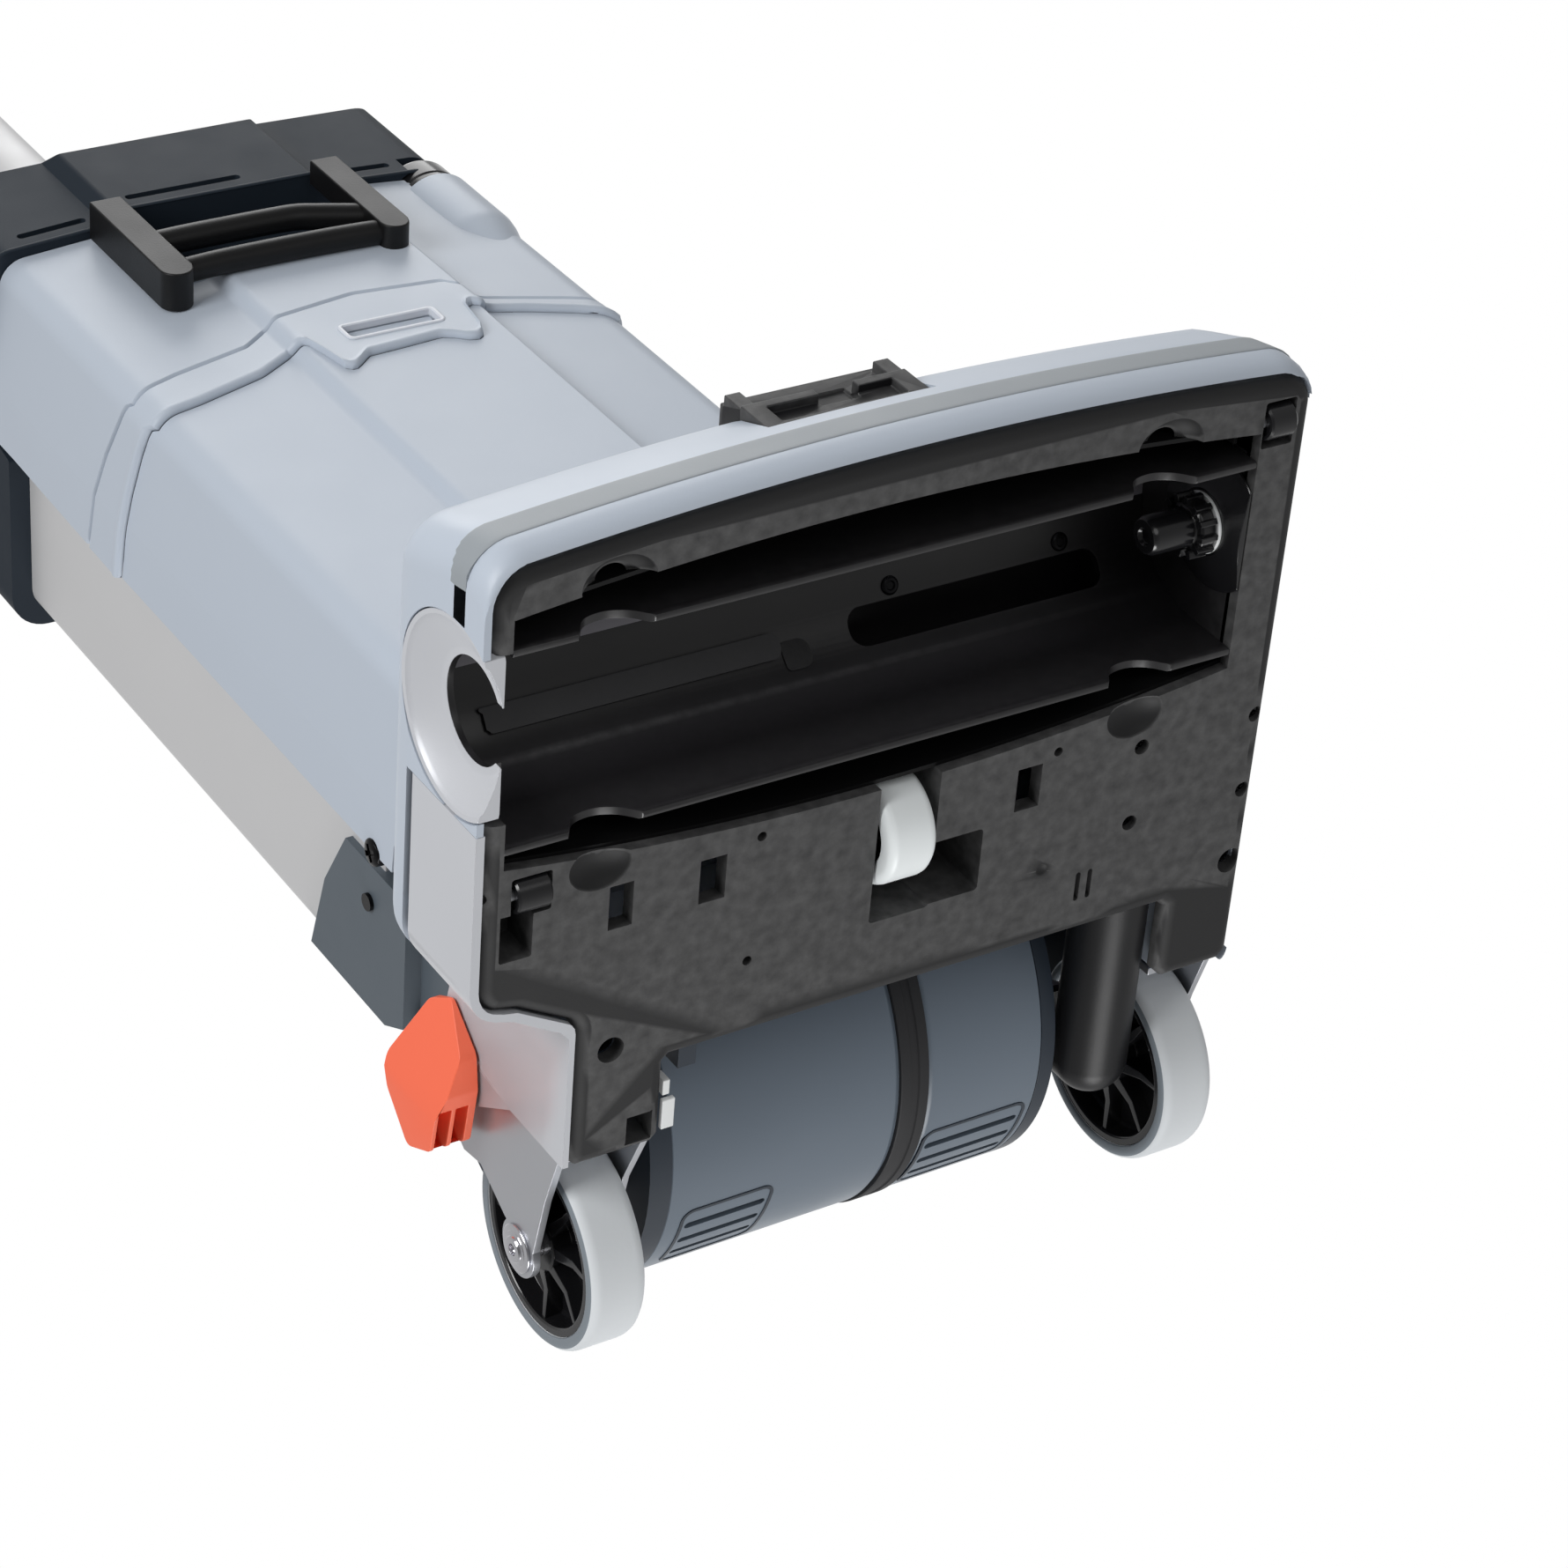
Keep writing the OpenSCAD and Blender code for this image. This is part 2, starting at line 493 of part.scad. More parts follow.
module yoke_shape(x0, x1, h0, h1) difference() {
  union() {
    xcyl(50, h0, h1, motor_y, motor_z);
    xpoly(h0, h1, [[motor_y + 50, motor_z], [motor_y - 26, motor_z], [-97, 176], [-34, 176]]);
    xpoly(x0, x1, [[-34, 168], [-34, 216], [-62, 232], [-97, 242], [-97, 182], [-90, 168]]);
  }
  xcyl(trunnion_r + 0.05, min(x0, h0) - 5, max(x1, h1) + 5, motor_y, motor_z);
}
module yoke_right() at() color(c_dark) difference() {
  yoke_shape(72, 91, 72, 84);
  // slanted facet on the outer rear corner
  translate([91, -62, 150]) rotate([0, 0, 18]) translate([0, -60, 0]) cube([20, 60, 120]);
  // slip over the end of the back profile
  profile_solid(0.02);
}
module yoke_left() at() color(c_dark) difference() {
  yoke_shape(-113, -99.3, -101.6, -99.3);
  translate([-113, -62, 150]) rotate([0, 0, -18]) translate([-20, -60, 0]) cube([20, 60, 120]);
  profile_solid(0.02);
}
module profile_plan(d) union() {
  translate([-110 + d, -85]) square([198 - 2*d, 61 - d]);
  translate([-98, -97 + d]) square([174, 30]);
  translate([-98, -85]) circle(r = 12 - d);
  translate([76, -85]) circle(r = 12 - d);
}
module profile_solid(e) translate([0, 0, 190 - e]) linear_extrude(355 + 2*e) profile_plan(0);
module back_profile() at() color(c_metal) difference() {
  translate([0, 0, 190]) linear_extrude(355) profile_plan(0);
  translate([0, 0, 189]) linear_extrude(357) profile_plan(2.4);
  xcyl(motor_r + 6, -120, 100, motor_y, motor_z);
  xcyl(13.5, -120, -100, pipe_y, 468);
}

module bag_frame() at() color(c_black) difference() {
  union() {
    bx3(-104, 82, -23.8, -20, 196, 506.5);
    // ears inside the door's sides, hinge pins go through them
    bx3(89.2, 92, -23.8, -12, 168, 210);
    bx3(82, 92, -23.8, -20, 196, 210);
    bx3(-116, -113.2, -23.8, -12, 168, 210);
    bx3(-116, -104, -23.8, -20, 196, 210);
    // shelf above the bag and cuff the bag hangs on
    bx3(-100, 80, -20, 40, 440, 443);
    ycyl(24, -20, -8, bx, 400);
  }
  ycyl(18, -25, -7, bx, 400);
  xcyl(4, 80, 100, -18, 181);
  xcyl(4, -120, -110, -18, 181);
}
module door_pins() at() color([0.2, 0.2, 0.21]) union() {
  xcyl(4, 87, 97.6, -18, 181);
  xcyl(4, -121.6, -111, -18, 181);
}
door_low = [[-40, 215], [-29, 205], [-27, 200], [-27, 168], [-6, 168], [40, 112], [52, 108], [90, 108]];
module bag_door() at() color(c_shell) difference() {
  intersection() {
    zpoly(100, 440, body_plan(0));
    xpoly(-200, 200, concat(door_low, seam(-0.45)));
  }
  difference() {
    zpoly(90, 450, concat([[95.4, -30], [95.4, -18], [93.4, 6]], arc(78, 46, 9.4, 0, 84, 5), [[24, 60.4], [20, 65.4], [-61, 65.4], [-65, 59.9]], arc(-108, 46, 9.4, 94, 180, 5), [[-118.4, 6], [-119.4, -18], [-119.4, -30]]));
    xpoly(-200, 200, [[34, 90], [34, 122], [50, 111], [100, 111], [100, 90]]);
  }
  // notch under the latch
  bx3(-60, 14, 50, 80, seam_z - 16, seam_z + 1);
  // hinge holes
  xcyl(4.05, 80, 110, -18, 181);
  xcyl(4.05, -130, -105, -18, 181);
}

module upper_shell() at() color(c_shell) difference() {
  union() {
    // band above the seam, a little proud, with its rim
    intersection() { zpoly(seam_z - 20, 470, body_plan(-1.4)); xpoly(-200, 200, concat(seam(0), [[-40, seam_z + 34], [-30, seam_z + 34], [40, seam_z + 22], [90, seam_z + 22]])); }
    intersection() { zpoly(seam_z - 20, 470, body_plan(-2.8)); xpoly(-200, 200, concat(seam(0), rev(seam(4)))); }
    // tab that reaches down over the latch
    bx3(-59.6, 13.6, 62, 69.4, seam_z - 15.6, seam_z + 10);
    bx3(-59.6, 13.6, 66, 70.8, seam_z - 15.6, seam_z - 11.6);
    // shell
    intersection() { zpoly(seam_z - 20, cover_z0, body_plan(0)); xpoly(-200, 200, concat(seam(0), [[-40, 600], [90, 600]])); }
    translate([port_x, port_y, 452]) cylinder(r1 = 12, r2 = 19, h = 26);
    zcyl(19, 478, 519, port_x, port_y);
  }
  zcyl(25, 519, 540, port_x, port_y);
  // hollow inside
  difference() {
    zpoly(seam_z - 30, cover_z0 + 1, concat([[95.4, -30], [95.4, -18], [93.4, 6]], arc(78, 46, 9.4, 0, 84, 5), [[24, 60.4], [20, 65.4], [-61, 65.4], [-65, 59.9]], arc(-108, 46, 9.4, 94, 180, 5), [[-118.4, 6], [-119.4, -18], [-119.4, -30]]));
    // walls of the hand pocket behind the carry handle
    bx3(-62.6, 44.6, 37.4, 80, 469.4, 540);
    bx3(-59.6, 13.6, 62, 80, 380, seam_z + 10);
    zcyl(27.6, 516.4, 540, port_x, port_y);
  }
  bx3(-60, 42, 40, 80, 472, 540);
  // latch window
  bx3(-46, -6, 60, 80, 399, 407);
  // flange plate cut
}
module door_latch() at() color(c_shell) union() {
  bx3(-45.6, -6.4, 63, 68.6, 399.4, 406.6);
}

module carry_handle() at() color(c_black) union() {
  // arms beside the hand pocket, up to the cover's rim
  for (a = [[45, 7, 62.4, 457], [-54, 6.2, 68.2, 460]]) {
    bx3(a[0] - a[1], a[0] + a[1], a[2], 79.4, a[3], 524);
    ycyl(a[1], a[2], 79.4, a[0], a[3]);
  }
  // lower bar
  xcyl(5.2, -54, 45, 73.6, 464);
  // grip bar, slanted down at its left end
  xcyl(5.6, -26.5, 45, 73, 490);
  translate([-23, 73, 490.4]) rotate([0, -90, 0]) rotate([0, -22.5, 0]) cylinder(r = 5.3, h = 33.5);
}

// Plan of the top cover, pulled in by d
function cover_plan(d) = concat(
  arc(84, 48, 13 - d, 0, 84, 5),
  [[43 - d*0.3, 65 - d], [38 - d*0.3, 71 - d], [-51 + d*0.3, 71 - d], [-56 + d*0.3, 65 - d]],
  arc(-103, 48, 14 - d, 95, 180, 5),
  arc(-101, -88, 16 - d, 180, 270, 5), arc(81, -88, 16 - d, 270, 360, 5));
function cover_side(d) = [[80, cover_z0], [80, 576.7], [14 - d, cover_z1 - d], [-84 + d, cover_z1 - d], [-104 + d, 622], [-104 + d, 507], [-22, 507], [-18.4, cover_z0]];
module top_cover() at() color(c_navy) difference() {
  intersection() { zpoly(500, 660, cover_plan(0)); xpoly(-200, 200, cover_side(0)); }
  // hollow, open below
  difference() { intersection() { zpoly(490, 660, cover_plan(3)); xpoly(-200, 200, [[90, 520], [90, 561], [12.2, cover_z1 - 3], [-81, cover_z1 - 3], [-101, 621], [-101, 560], [-22, 560], [-16, 500]]); } zcyl(20.8, 490, 543.6, port_x, port_y); }
  translate([0, 0, 500]) linear_extrude(60.5) profile_plan(-0.02);
  // handle tube socket
  zcyl(tube_r, 600, 660, bx, -27);
  // slots near the lower edge
  for (s = [[-22, 30, 69.2, 76], [48, 78, 62.5, 76], [-92, -62, 62.3, 76]]) bx3(s[0], s[1], s[2], s[3], cover_z0 + 8, cover_z0 + 12);
  // notch around the round port
  zcyl(18.2, 500, 541, port_x, port_y);
  // switch window and the flexible lead's outlet
  bx3(34, 60, -20, 0, 630, 660);
  ycyl(6, -110, -95, bx + 40, 600);
}
module power_switch() at() color(c_black) difference() {
  union() {
    xcyl(8.5, 34.4, 59.6, -10, cover_z1 - 6);
    bx3(34.4, 59.6, -18, -2, cover_z1 - 9, cover_z1 - 2);
  }
  bx3(30, 70, -30, 20, 620, cover_z1 - 9.5);
}
module cord_gland() at() color(c_black) difference() {
  ycyl(6, -112, -100, bx + 40, 600);
  ycyl(3.6, -113, -99, bx + 40, 600);
}

// Smooth path of the flexible hose round the motor's shaft sleeve
hose_pts = [[duct_x, duct_y, 58], [-118.4, -89, 80], [-118.9, -100.8, 108], [-121.6, -93.5, 140], [pipe_x, pipe_y, 178]];
module hose() at() color(c_black) union() {
  for (i = [0:3]) let (a = hose_pts[i], b = hose_pts[i + 1], v = b - a, n = norm(v), e = i == 0 ? 0 : 2)
    translate(a) rotate([0, acos(v[2]/n), atan2(v[1], v[0])]) translate([0, 0, -e]) cylinder(r = 13.4 - 0.1*i, h = n + e + (i == 3 ? -5 : 2));
  zcyl(13.9, 48.2, 61, duct_x, duct_y);
  zcyl(14.2, 174, 183.8, pipe_x, pipe_y);
}
module suction_pipe() at() color(c_black) difference() {
  union() {
    zcyl(14, 184, 450, pipe_x, pipe_y);
    zcyl(15.2, 184, 200, pipe_x, pipe_y);
    zcyl(15.2, 434, 450, pipe_x, pipe_y);
    for (z = [250, 396]) bx3(pipe_x + 12, -110.02, -70, -62, z, z + 14);
  }
  zcyl(11.5, 183, 451, pipe_x, pipe_y);
}
module hose_elbow() at() color(c_black) difference() {
  union() {
    zcyl(16, 450.2, 468, pipe_x, pipe_y);
    translate([pipe_x, pipe_y, 468]) sphere(r = 16);
    xcyl(16, pipe_x, -113.5, pipe_y, 468);
    xcyl(19, -113.5, -110.02, pipe_y, 468);
    xcyl(13.4, -112, -104, pipe_y, 468);
  }
  zcyl(12, 449, 468, pipe_x, pipe_y);
  translate([pipe_x, pipe_y, 468]) sphere(r = 12);
  xcyl(12, pipe_x, -103, pipe_y, 468);
}
// Black cap on top of the round port at the shell's left front corner
module hose_port() at() color(c_black) union() {
  zcyl(17.6, 519.2, 537, port_x, port_y);
  zcyl(15.5, 537, 539, port_x, port_y);
}

// Part-filled paper bag, pulled in by d
module bag_solid(d) intersection() {
  xpoly(-200, 200, concat([[-6.5 + d, 150 + d], [-6.5 + d, 432 - d]], arc(-234, 300, 289 - d, 27, -25, 10)));
  union() {
    bx3(-92 + d, 70 - d, -20, 60, 172, 410);
    bx3(-70, 48, -20, 60, 150 + d, 432 - d);
    for (x = [-70, 48]) for (z = [172, 410]) ycyl(22 - d, -20, 60, x, z);
  }
  xpoly(-200, 200, [[-10, 225], [-10, 440], [60, 440], [60, 130 + 1.4*d], [38, 150 + 1.4*d]]);
}
module dust_bag() at() color([0.85, 0.82, 0.75]) difference() {
  bag_solid(0);
  bag_solid(3);
  ycyl(15, -10, 6, bx, 400);
}
module filter_holder() at() color(c_tyre) bx3(-80, 58, -19.5, 30, 443.2, 462);

module handle_tube() at() color(c_metal) difference() {
  zcyl(tube_r, 600, 1085, bx, -27);
  zcyl(tube_r - 1.5, 599, 1086, bx, -27);
}
module grip() at() color(c_dark) difference() {
  union() {
    zcyl(24, 1070, 1110, bx, -27);
    // loop
    translate([bx - 16, 0, 0]) xpoly(0, 32, concat(arc(-57, top_z - 30, 30, 60, 180, 8), arc(-60, 1130, 27, 180, 230, 4), [[-47, 1080], [-7, 1080]], arc(-18, 1150, 14, -10, 60, 4)));
  }
  translate([bx - 40, 0, 0]) xpoly(0, 80, concat(arc(-55, top_z - 36, 14, 50, 180, 6), arc(-57, 1136, 12, 180, 260, 4), arc(-36, 1142, 8, -60, 40, 4)));
  zcyl(tube_r, 1060, 1085, bx, -27);
}
module cord_hook() at() color(c_dark) difference() {
  union() {
    ycyl(6, -62, -51.3, bx, 1040);
    ycyl(3.95, -52, -48, bx, 1040);
    xpoly(bx - 7, bx + 7, [[-78, 1034], [-62, 1034], [-62, 1046], [-72, 1046], [-72, 1076], [-78, 1076]]);
  }
}
module body_screws() at() color([0.2, 0.2, 0.21]) union() {
  xcyl(3.5, 91.1, 92.6, -50, 196);
  xcyl(3, 84.1, 85.4, -91, 160);
  xcyl(3.5, -114.5, -113.1, -50, 196);
  // clamp ring that carries the cord hook
  difference() { zcyl(tube_r + 4, 1028, 1052, bx, -27); zcyl(tube_r, 1020, 1060, bx, -27); ycyl(4, -60, -40, bx, 1040); }
}

base_plate();
head_cover();
bumper();
front_insert();
side_panel();
brush_port();
brush_tunnel();
tunnel_end_right();
tunnel_end_left();
air_guide_front();
air_guide_rear();
bracket_right();
bracket_left();
axle_right();
axle_left();
motor_housing();
motor_band();
motor_flange_right();
motor_flange_left();
shaft_sleeve();
belt_guard();
drive_belt();
suction_duct();
corner_axles();
cable_clip();
base_screws();
tyre_right();
hub_right();
tyre_left();
hub_left();
centre_roller();
corner_roller_rear();
corner_roller_front();
brush_drive();
drive_ring();
motor_rotor();
pedal();
hose();
yoke_right();
yoke_left();
back_profile();
bag_frame();
door_pins();
upper_shell();
carry_handle();
hose_port();
top_cover();
suction_pipe();
hose_elbow();
dust_bag();
filter_holder();
handle_tube();
grip();
cord_gland();
body_screws();
bag_door();
door_latch();
power_switch();
cord_hook();
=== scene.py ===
import bpy, bmesh, math, json
from math import sin, cos, tan, pi, radians, sqrt, atan2, acos
from mathutils import Vector, Matrix


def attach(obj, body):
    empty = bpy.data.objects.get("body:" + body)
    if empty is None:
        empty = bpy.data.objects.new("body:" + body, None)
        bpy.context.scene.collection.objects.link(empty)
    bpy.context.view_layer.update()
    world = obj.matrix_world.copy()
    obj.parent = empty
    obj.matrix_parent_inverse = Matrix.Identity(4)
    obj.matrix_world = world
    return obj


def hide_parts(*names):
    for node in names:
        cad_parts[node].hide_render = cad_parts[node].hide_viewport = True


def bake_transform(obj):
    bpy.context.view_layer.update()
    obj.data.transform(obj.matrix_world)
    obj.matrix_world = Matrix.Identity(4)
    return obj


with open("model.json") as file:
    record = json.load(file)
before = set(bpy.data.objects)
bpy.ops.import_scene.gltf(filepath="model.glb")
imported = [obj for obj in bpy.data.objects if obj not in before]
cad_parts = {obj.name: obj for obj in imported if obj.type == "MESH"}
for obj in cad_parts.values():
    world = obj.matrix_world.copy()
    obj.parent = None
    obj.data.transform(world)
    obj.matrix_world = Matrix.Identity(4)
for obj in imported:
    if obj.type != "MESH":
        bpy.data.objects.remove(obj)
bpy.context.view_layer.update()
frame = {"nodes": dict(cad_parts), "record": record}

NODES = frame["nodes"]
YM = 33.6                                   # working units are mm, y measured from the plate's rear edge
XM = 2.5                                    # and x from the plate's own middle
TO_M = Matrix.Translation((XM / 1000, -YM / 1000, 0)) @ Matrix.Scale(0.001, 4)
TO_MM = TO_M.inverted()
COL = bpy.context.scene.collection

# ------------------------------------------------------------------ helpers
def arc(cx, cy, r, a0, a1, n=8):
    return [(cx + r * cos(radians(a0 + (a1 - a0) * i / n)), cy + r * sin(radians(a0 + (a1 - a0) * i / n))) for i in range(n + 1)]

def fillet(pts, n=6, closed=True):
    """Rounds the corners of a polyline given as (x, y, radius)."""
    out = []
    N = len(pts)
    for i, (x, y, r) in enumerate(pts):
        if r <= 0 or (not closed and i in (0, N - 1)):
            out.append((x, y)); continue
        p = Vector((x, y)); a = Vector(pts[i - 1][:2]); b = Vector(pts[(i + 1) % N][:2])
        u = (a - p).normalized(); v = (b - p).normalized()
        c = max(-1, min(1, u.dot(v))); th = acos(c)
        if th > pi - 0.02:
            out.append((x, y)); continue
        t = min(r / tan(th / 2), (a - p).length * 0.49, (b - p).length * 0.49)
        rr = t * tan(th / 2)
        c0 = p + (u + v).normalized() * (rr / sin(th / 2))
        p0 = p + u * t; p1 = p + v * t
        a0 = atan2(p0.y - c0.y, p0.x - c0.x); a1 = atan2(p1.y - c0.y, p1.x - c0.x)
        d = (a1 - a0 + pi) % (2 * pi) - pi
        for k in range(n + 1):
            out.append((c0.x + rr * cos(a0 + d * k / n), c0.y + rr * sin(a0 + d * k / n)))
    return out

def offset(pts, d, closed=True):
    """Moves a polyline inwards by d (to the left of its direction)."""
    out = []
    N = len(pts)
    for i in range(N):
        p = Vector(pts[i])
        a = Vector(pts[i - 1]) if (closed or i > 0) else None
        b = Vector(pts[(i + 1) % N]) if (closed or i < N - 1) else None
        ns = []
        if a is not None and (p - a).length > 1e-6:
            e = (p - a).normalized(); ns.append(Vector((-e.y, e.x)))
        if b is not None and (b - p).length > 1e-6:
            e = (b - p).normalized(); ns.append(Vector((-e.y, e.x)))
        if len(ns) == 2:
            m = ns[0] + ns[1]
            q = p + m * (d / max(0.3, 1 + ns[0].dot(ns[1])))
        else:
            q = p + ns[0] * d
        out.append((q.x, q.y))
    return out

def interp(tab, x):
    if x <= tab[0][0]: return tab[0][1]
    for (a, fa), (b, fb) in zip(tab, tab[1:]):
        if x <= b: return fa + (fb - fa) * (x - a) / max(1e-9, b - a)
    return tab[-1][1]

def sm(a, b, x):
    t = max(0.0, min(1.0, (x - a) / (b - a))); return t * t * (3 - 2 * t)

AX = {"z": lambda a, b, h: (a, b, h), "x": lambda a, b, h: (h, a, b), "y": lambda a, b, h: (a, h, b)}
def prism(bm, pts, h0, h1, axis="z"):
    f = AX[axis]
    lo = [bm.verts.new(f(a, b, h0)) for a, b in pts]
    hi = [bm.verts.new(f(a, b, h1)) for a, b in pts]
    n = len(pts)
    bm.faces.new(lo[::-1]); bm.faces.new(hi)
    for i in range(n): bm.faces.new((lo[i], lo[(i + 1) % n], hi[(i + 1) % n], hi[i]))
    return bm

def box(bm, x0, x1, y0, y1, z0, z1):
    return prism(bm, [(x0, y0), (x1, y0), (x1, y1), (x0, y1)], z0, z1)

def loft(bm, rows, cu=False, cv=False, cap0=False, cap1=False):
    """rows: lists of points; cu closes each row, cv joins the last row to the first."""
    vs = [[bm.verts.new(p) for p in r] for r in rows]
    n = len(vs[0]); m = len(vs)
    for i in range(m if cv else m - 1):
        for j in range(n if cu else n - 1):
            q = (vs[i][j], vs[i][(j + 1) % n], vs[(i + 1) % m][(j + 1) % n], vs[(i + 1) % m][j])
            if len(set(q)) == 4:
                bm.faces.new(q)
    if cap0: bm.faces.new(vs[0][::-1])
    if cap1: bm.faces.new(vs[-1])
    return vs

def lathe(bm, prof, axis="x", c=(0, 0), seg=96, closed=False, a0=0, a1=360):
    """prof: (radius, height) pairs, turned about an axis through c."""
    full = abs(a1 - a0) >= 360
    f = AX[axis]
    rows = []
    for k in range(seg if full else seg + 1):
        a = radians(a0 + (a1 - a0) * k / seg)
        rows.append([f(c[0] + r * cos(a), c[1] + r * sin(a), h) for r, h in prof])
    loft(bm, rows, cu=closed, cv=full)
    bmesh.ops.remove_doubles(bm, verts=bm.verts, dist=1e-4)
    return bm

def cyl(bm, axis, r, h0, h1, c, seg=48, ch=0.0):
    prof = [(0, h0), (r - ch, h0), (r, h0 + ch), (r, h1 - ch), (r - ch, h1), (0, h1)] if ch else [(0, h0), (r, h0), (r, h1), (0, h1)]
    b2 = bmesh.new(); lathe(b2, prof, axis, c, seg); merge(bm, b2); return bm

def merge(bm, b2):
    me = bpy.data.meshes.new("t"); b2.to_mesh(me); b2.free(); bm.from_mesh(me); bpy.data.meshes.remove(me); return bm

def frames(path, closed=False):
    pts = [Vector(p) for p in path]; n = len(pts); out = []
    up = None
    for i in range(n):
        a = pts[i - 1] if (i > 0 or closed) else pts[i]
        b = pts[(i + 1) % n] if (i < n - 1 or closed) else pts[i]
        t = (b - a).normalized()
        if up is None:
            up = Vector((0, 0, 1)) if abs(t.z) < 0.9 else Vector((0, 1, 0))
        u = (up - t * up.dot(t)).normalized(); v = t.cross(u)
        up = u
        out.append((pts[i], u, v))
    return out

def tube(bm, path, r, seg=20, closed=False, sq=1.0, caps=True):
    """Round bar along a path; r is a number or a function of 0..1."""
    rows = []
    fr = frames(path, closed); n = len(fr)
    for i, (p, u, v) in enumerate(fr):
        q = r(i / max(1, n - 1)) if callable(r) else r
        rows.append([p + u * (q * cos(2 * pi * k / seg)) + v * (q * sq * sin(2 * pi * k / seg)) for k in range(seg)])
    loft(bm, rows, cu=True, cv=closed, cap0=caps and not closed, cap1=caps and not closed)
    return bm

def spline(ctrl, n=8):
    """Catmull-Rom through the control points."""
    P = [Vector(p) for p in ctrl]; P = [P[0] * 2 - P[1]] + P + [P[-1] * 2 - P[-2]]
    out = []
    for i in range(1, len(P) - 2):
        for k in range(n):
            t = k / n
            out.append(0.5 * ((2 * P[i]) + (P[i + 1] - P[i - 1]) * t + (2 * P[i - 1] - 5 * P[i] + 4 * P[i + 1] - P[i + 2]) * t * t + (3 * P[i] - P[i - 1] - 3 * P[i + 1] + P[i + 2]) * t ** 3))
    out.append(P[-2]); return out

def ball(bm, c, r, seg=24):
    b2 = bmesh.new(); bmesh.ops.create_uvsphere(b2, u_segments=seg, v_segments=seg // 2, radius=1.0)
    rr = r if isinstance(r, (tuple, list)) else (r, r, r)
    for v in b2.verts: v.co = Vector((v.co.x * rr[0] + c[0], v.co.y * rr[1] + c[1], v.co.z * rr[2] + c[2]))
    return merge(bm, b2)

def to_mesh(bm, name="m"):
    bmesh.ops.recalc_face_normals(bm, faces=bm.faces)
    me = bpy.data.meshes.new(name); bm.to_mesh(me); bm.free(); return me

def bake(o):
    bpy.context.view_layer.update()
    dg = bpy.context.evaluated_depsgraph_get()
    me = bpy.data.meshes.new_from_object(o.evaluated_get(dg), preserve_all_data_layers=True, depsgraph=dg)
    o.modifiers.clear(); old = o.data; o.data = me
    if old.users == 0: bpy.data.meshes.remove(old)
    return o

def cut(me, *cutters, op="DIFFERENCE", mats=None, self_=False):
    """Exact boolean of a mesh with cutter meshes."""
    o = bpy.data.objects.new("cut_a", me); COL.objects.link(o)
    for c in cutters:
        if isinstance(c, bmesh.types.BMesh): c = to_mesh(c)
        k = bpy.data.objects.new("cut_b", c); COL.objects.link(k)
        m = o.modifiers.new("b", "BOOLEAN"); m.object = k; m.operation = op; m.solver = "EXACT"; m.use_self = self_
        if mats: m.material_mode = "TRANSFER"
        bake(o)
        bpy.data.objects.remove(k)
    me = o.data; bpy.data.objects.remove(o); return me

def put(name, src, mat, body, reps=(), bev=0, seg=2, bang=32, sub=0, solid=0, sharp=34, wn=True, metres=False):
    me = to_mesh(src, name) if isinstance(src, bmesh.types.BMesh) else src
    o = bpy.data.objects.new(name, me); COL.objects.link(o)
    if sub:
        m = o.modifiers.new("s", "SUBSURF"); m.levels = m.render_levels = sub
    if solid:
        m = o.modifiers.new("t", "SOLIDIFY"); m.thickness = abs(solid); m.offset = -1 if solid > 0 else 1; m.use_even_offset = True; m.use_quality_normals = True
    if bev:
        m = o.modifiers.new("b", "BEVEL"); m.width = bev; m.segments = seg; m.limit_method = "ANGLE"; m.angle_limit = radians(bang); m.use_clamp_overlap = True; m.miter_outer = "MITER_ARC"
    if sub or solid or bev: bake(o)
    if not metres: o.data.transform(TO_M)
    me = o.data
    me.polygons.foreach_set("use_smooth", [True] * len(me.polygons))
    me.set_sharp_from_angle(angle=radians(sharp))
    if wn and len(me.polygons) < 60000:
        m = o.modifiers.new("w", "WEIGHTED_NORMAL"); m.keep_sharp = True; m.weight = 60
        bake(o)
    me = o.data; me.name = name
    ml = mat if isinstance(mat, (list, tuple)) else [mat]
    me.materials.clear()
    for q in ml: me.materials.append(q)
    if body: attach(o, body)
    for r in ([reps] if isinstance(reps, str) else reps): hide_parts(r)
    return o

def body_of(node):
    return next(b for b, ns in frame["record"]["behaviour"]["bodies"].items() if node in ns)

def clean(node, mat, bev=0.4, seg=2, ang=30, cutter=None, name=None, sharp=36):
    """The CAD node's own shape with its flat faces merged and its edges rounded."""
    me = NODES[node].data.copy(); me.transform(TO_MM)
    bm = bmesh.new(); bm.from_mesh(me); bpy.data.meshes.remove(me)
    bmesh.ops.remove_doubles(bm, verts=bm.verts, dist=0.005)
    bmesh.ops.dissolve_limit(bm, angle_limit=radians(0.6), verts=bm.verts, edges=bm.edges)
    me = to_mesh(bm, node)
    me.materials.clear()
    if cutter is not None: me = cut(me, cutter)
    return put(name or node + "_v", me, mat, body_of(node), node, bev=bev, seg=seg, bang=ang, sharp=sharp)

# ------------------------------------------------------------------ materials
def lin(c):
    return tuple((v / 255 / 12.92 if v / 255 <= 0.04045 else ((v / 255 + 0.055) / 1.055) ** 2.4) for v in c) + (1,)

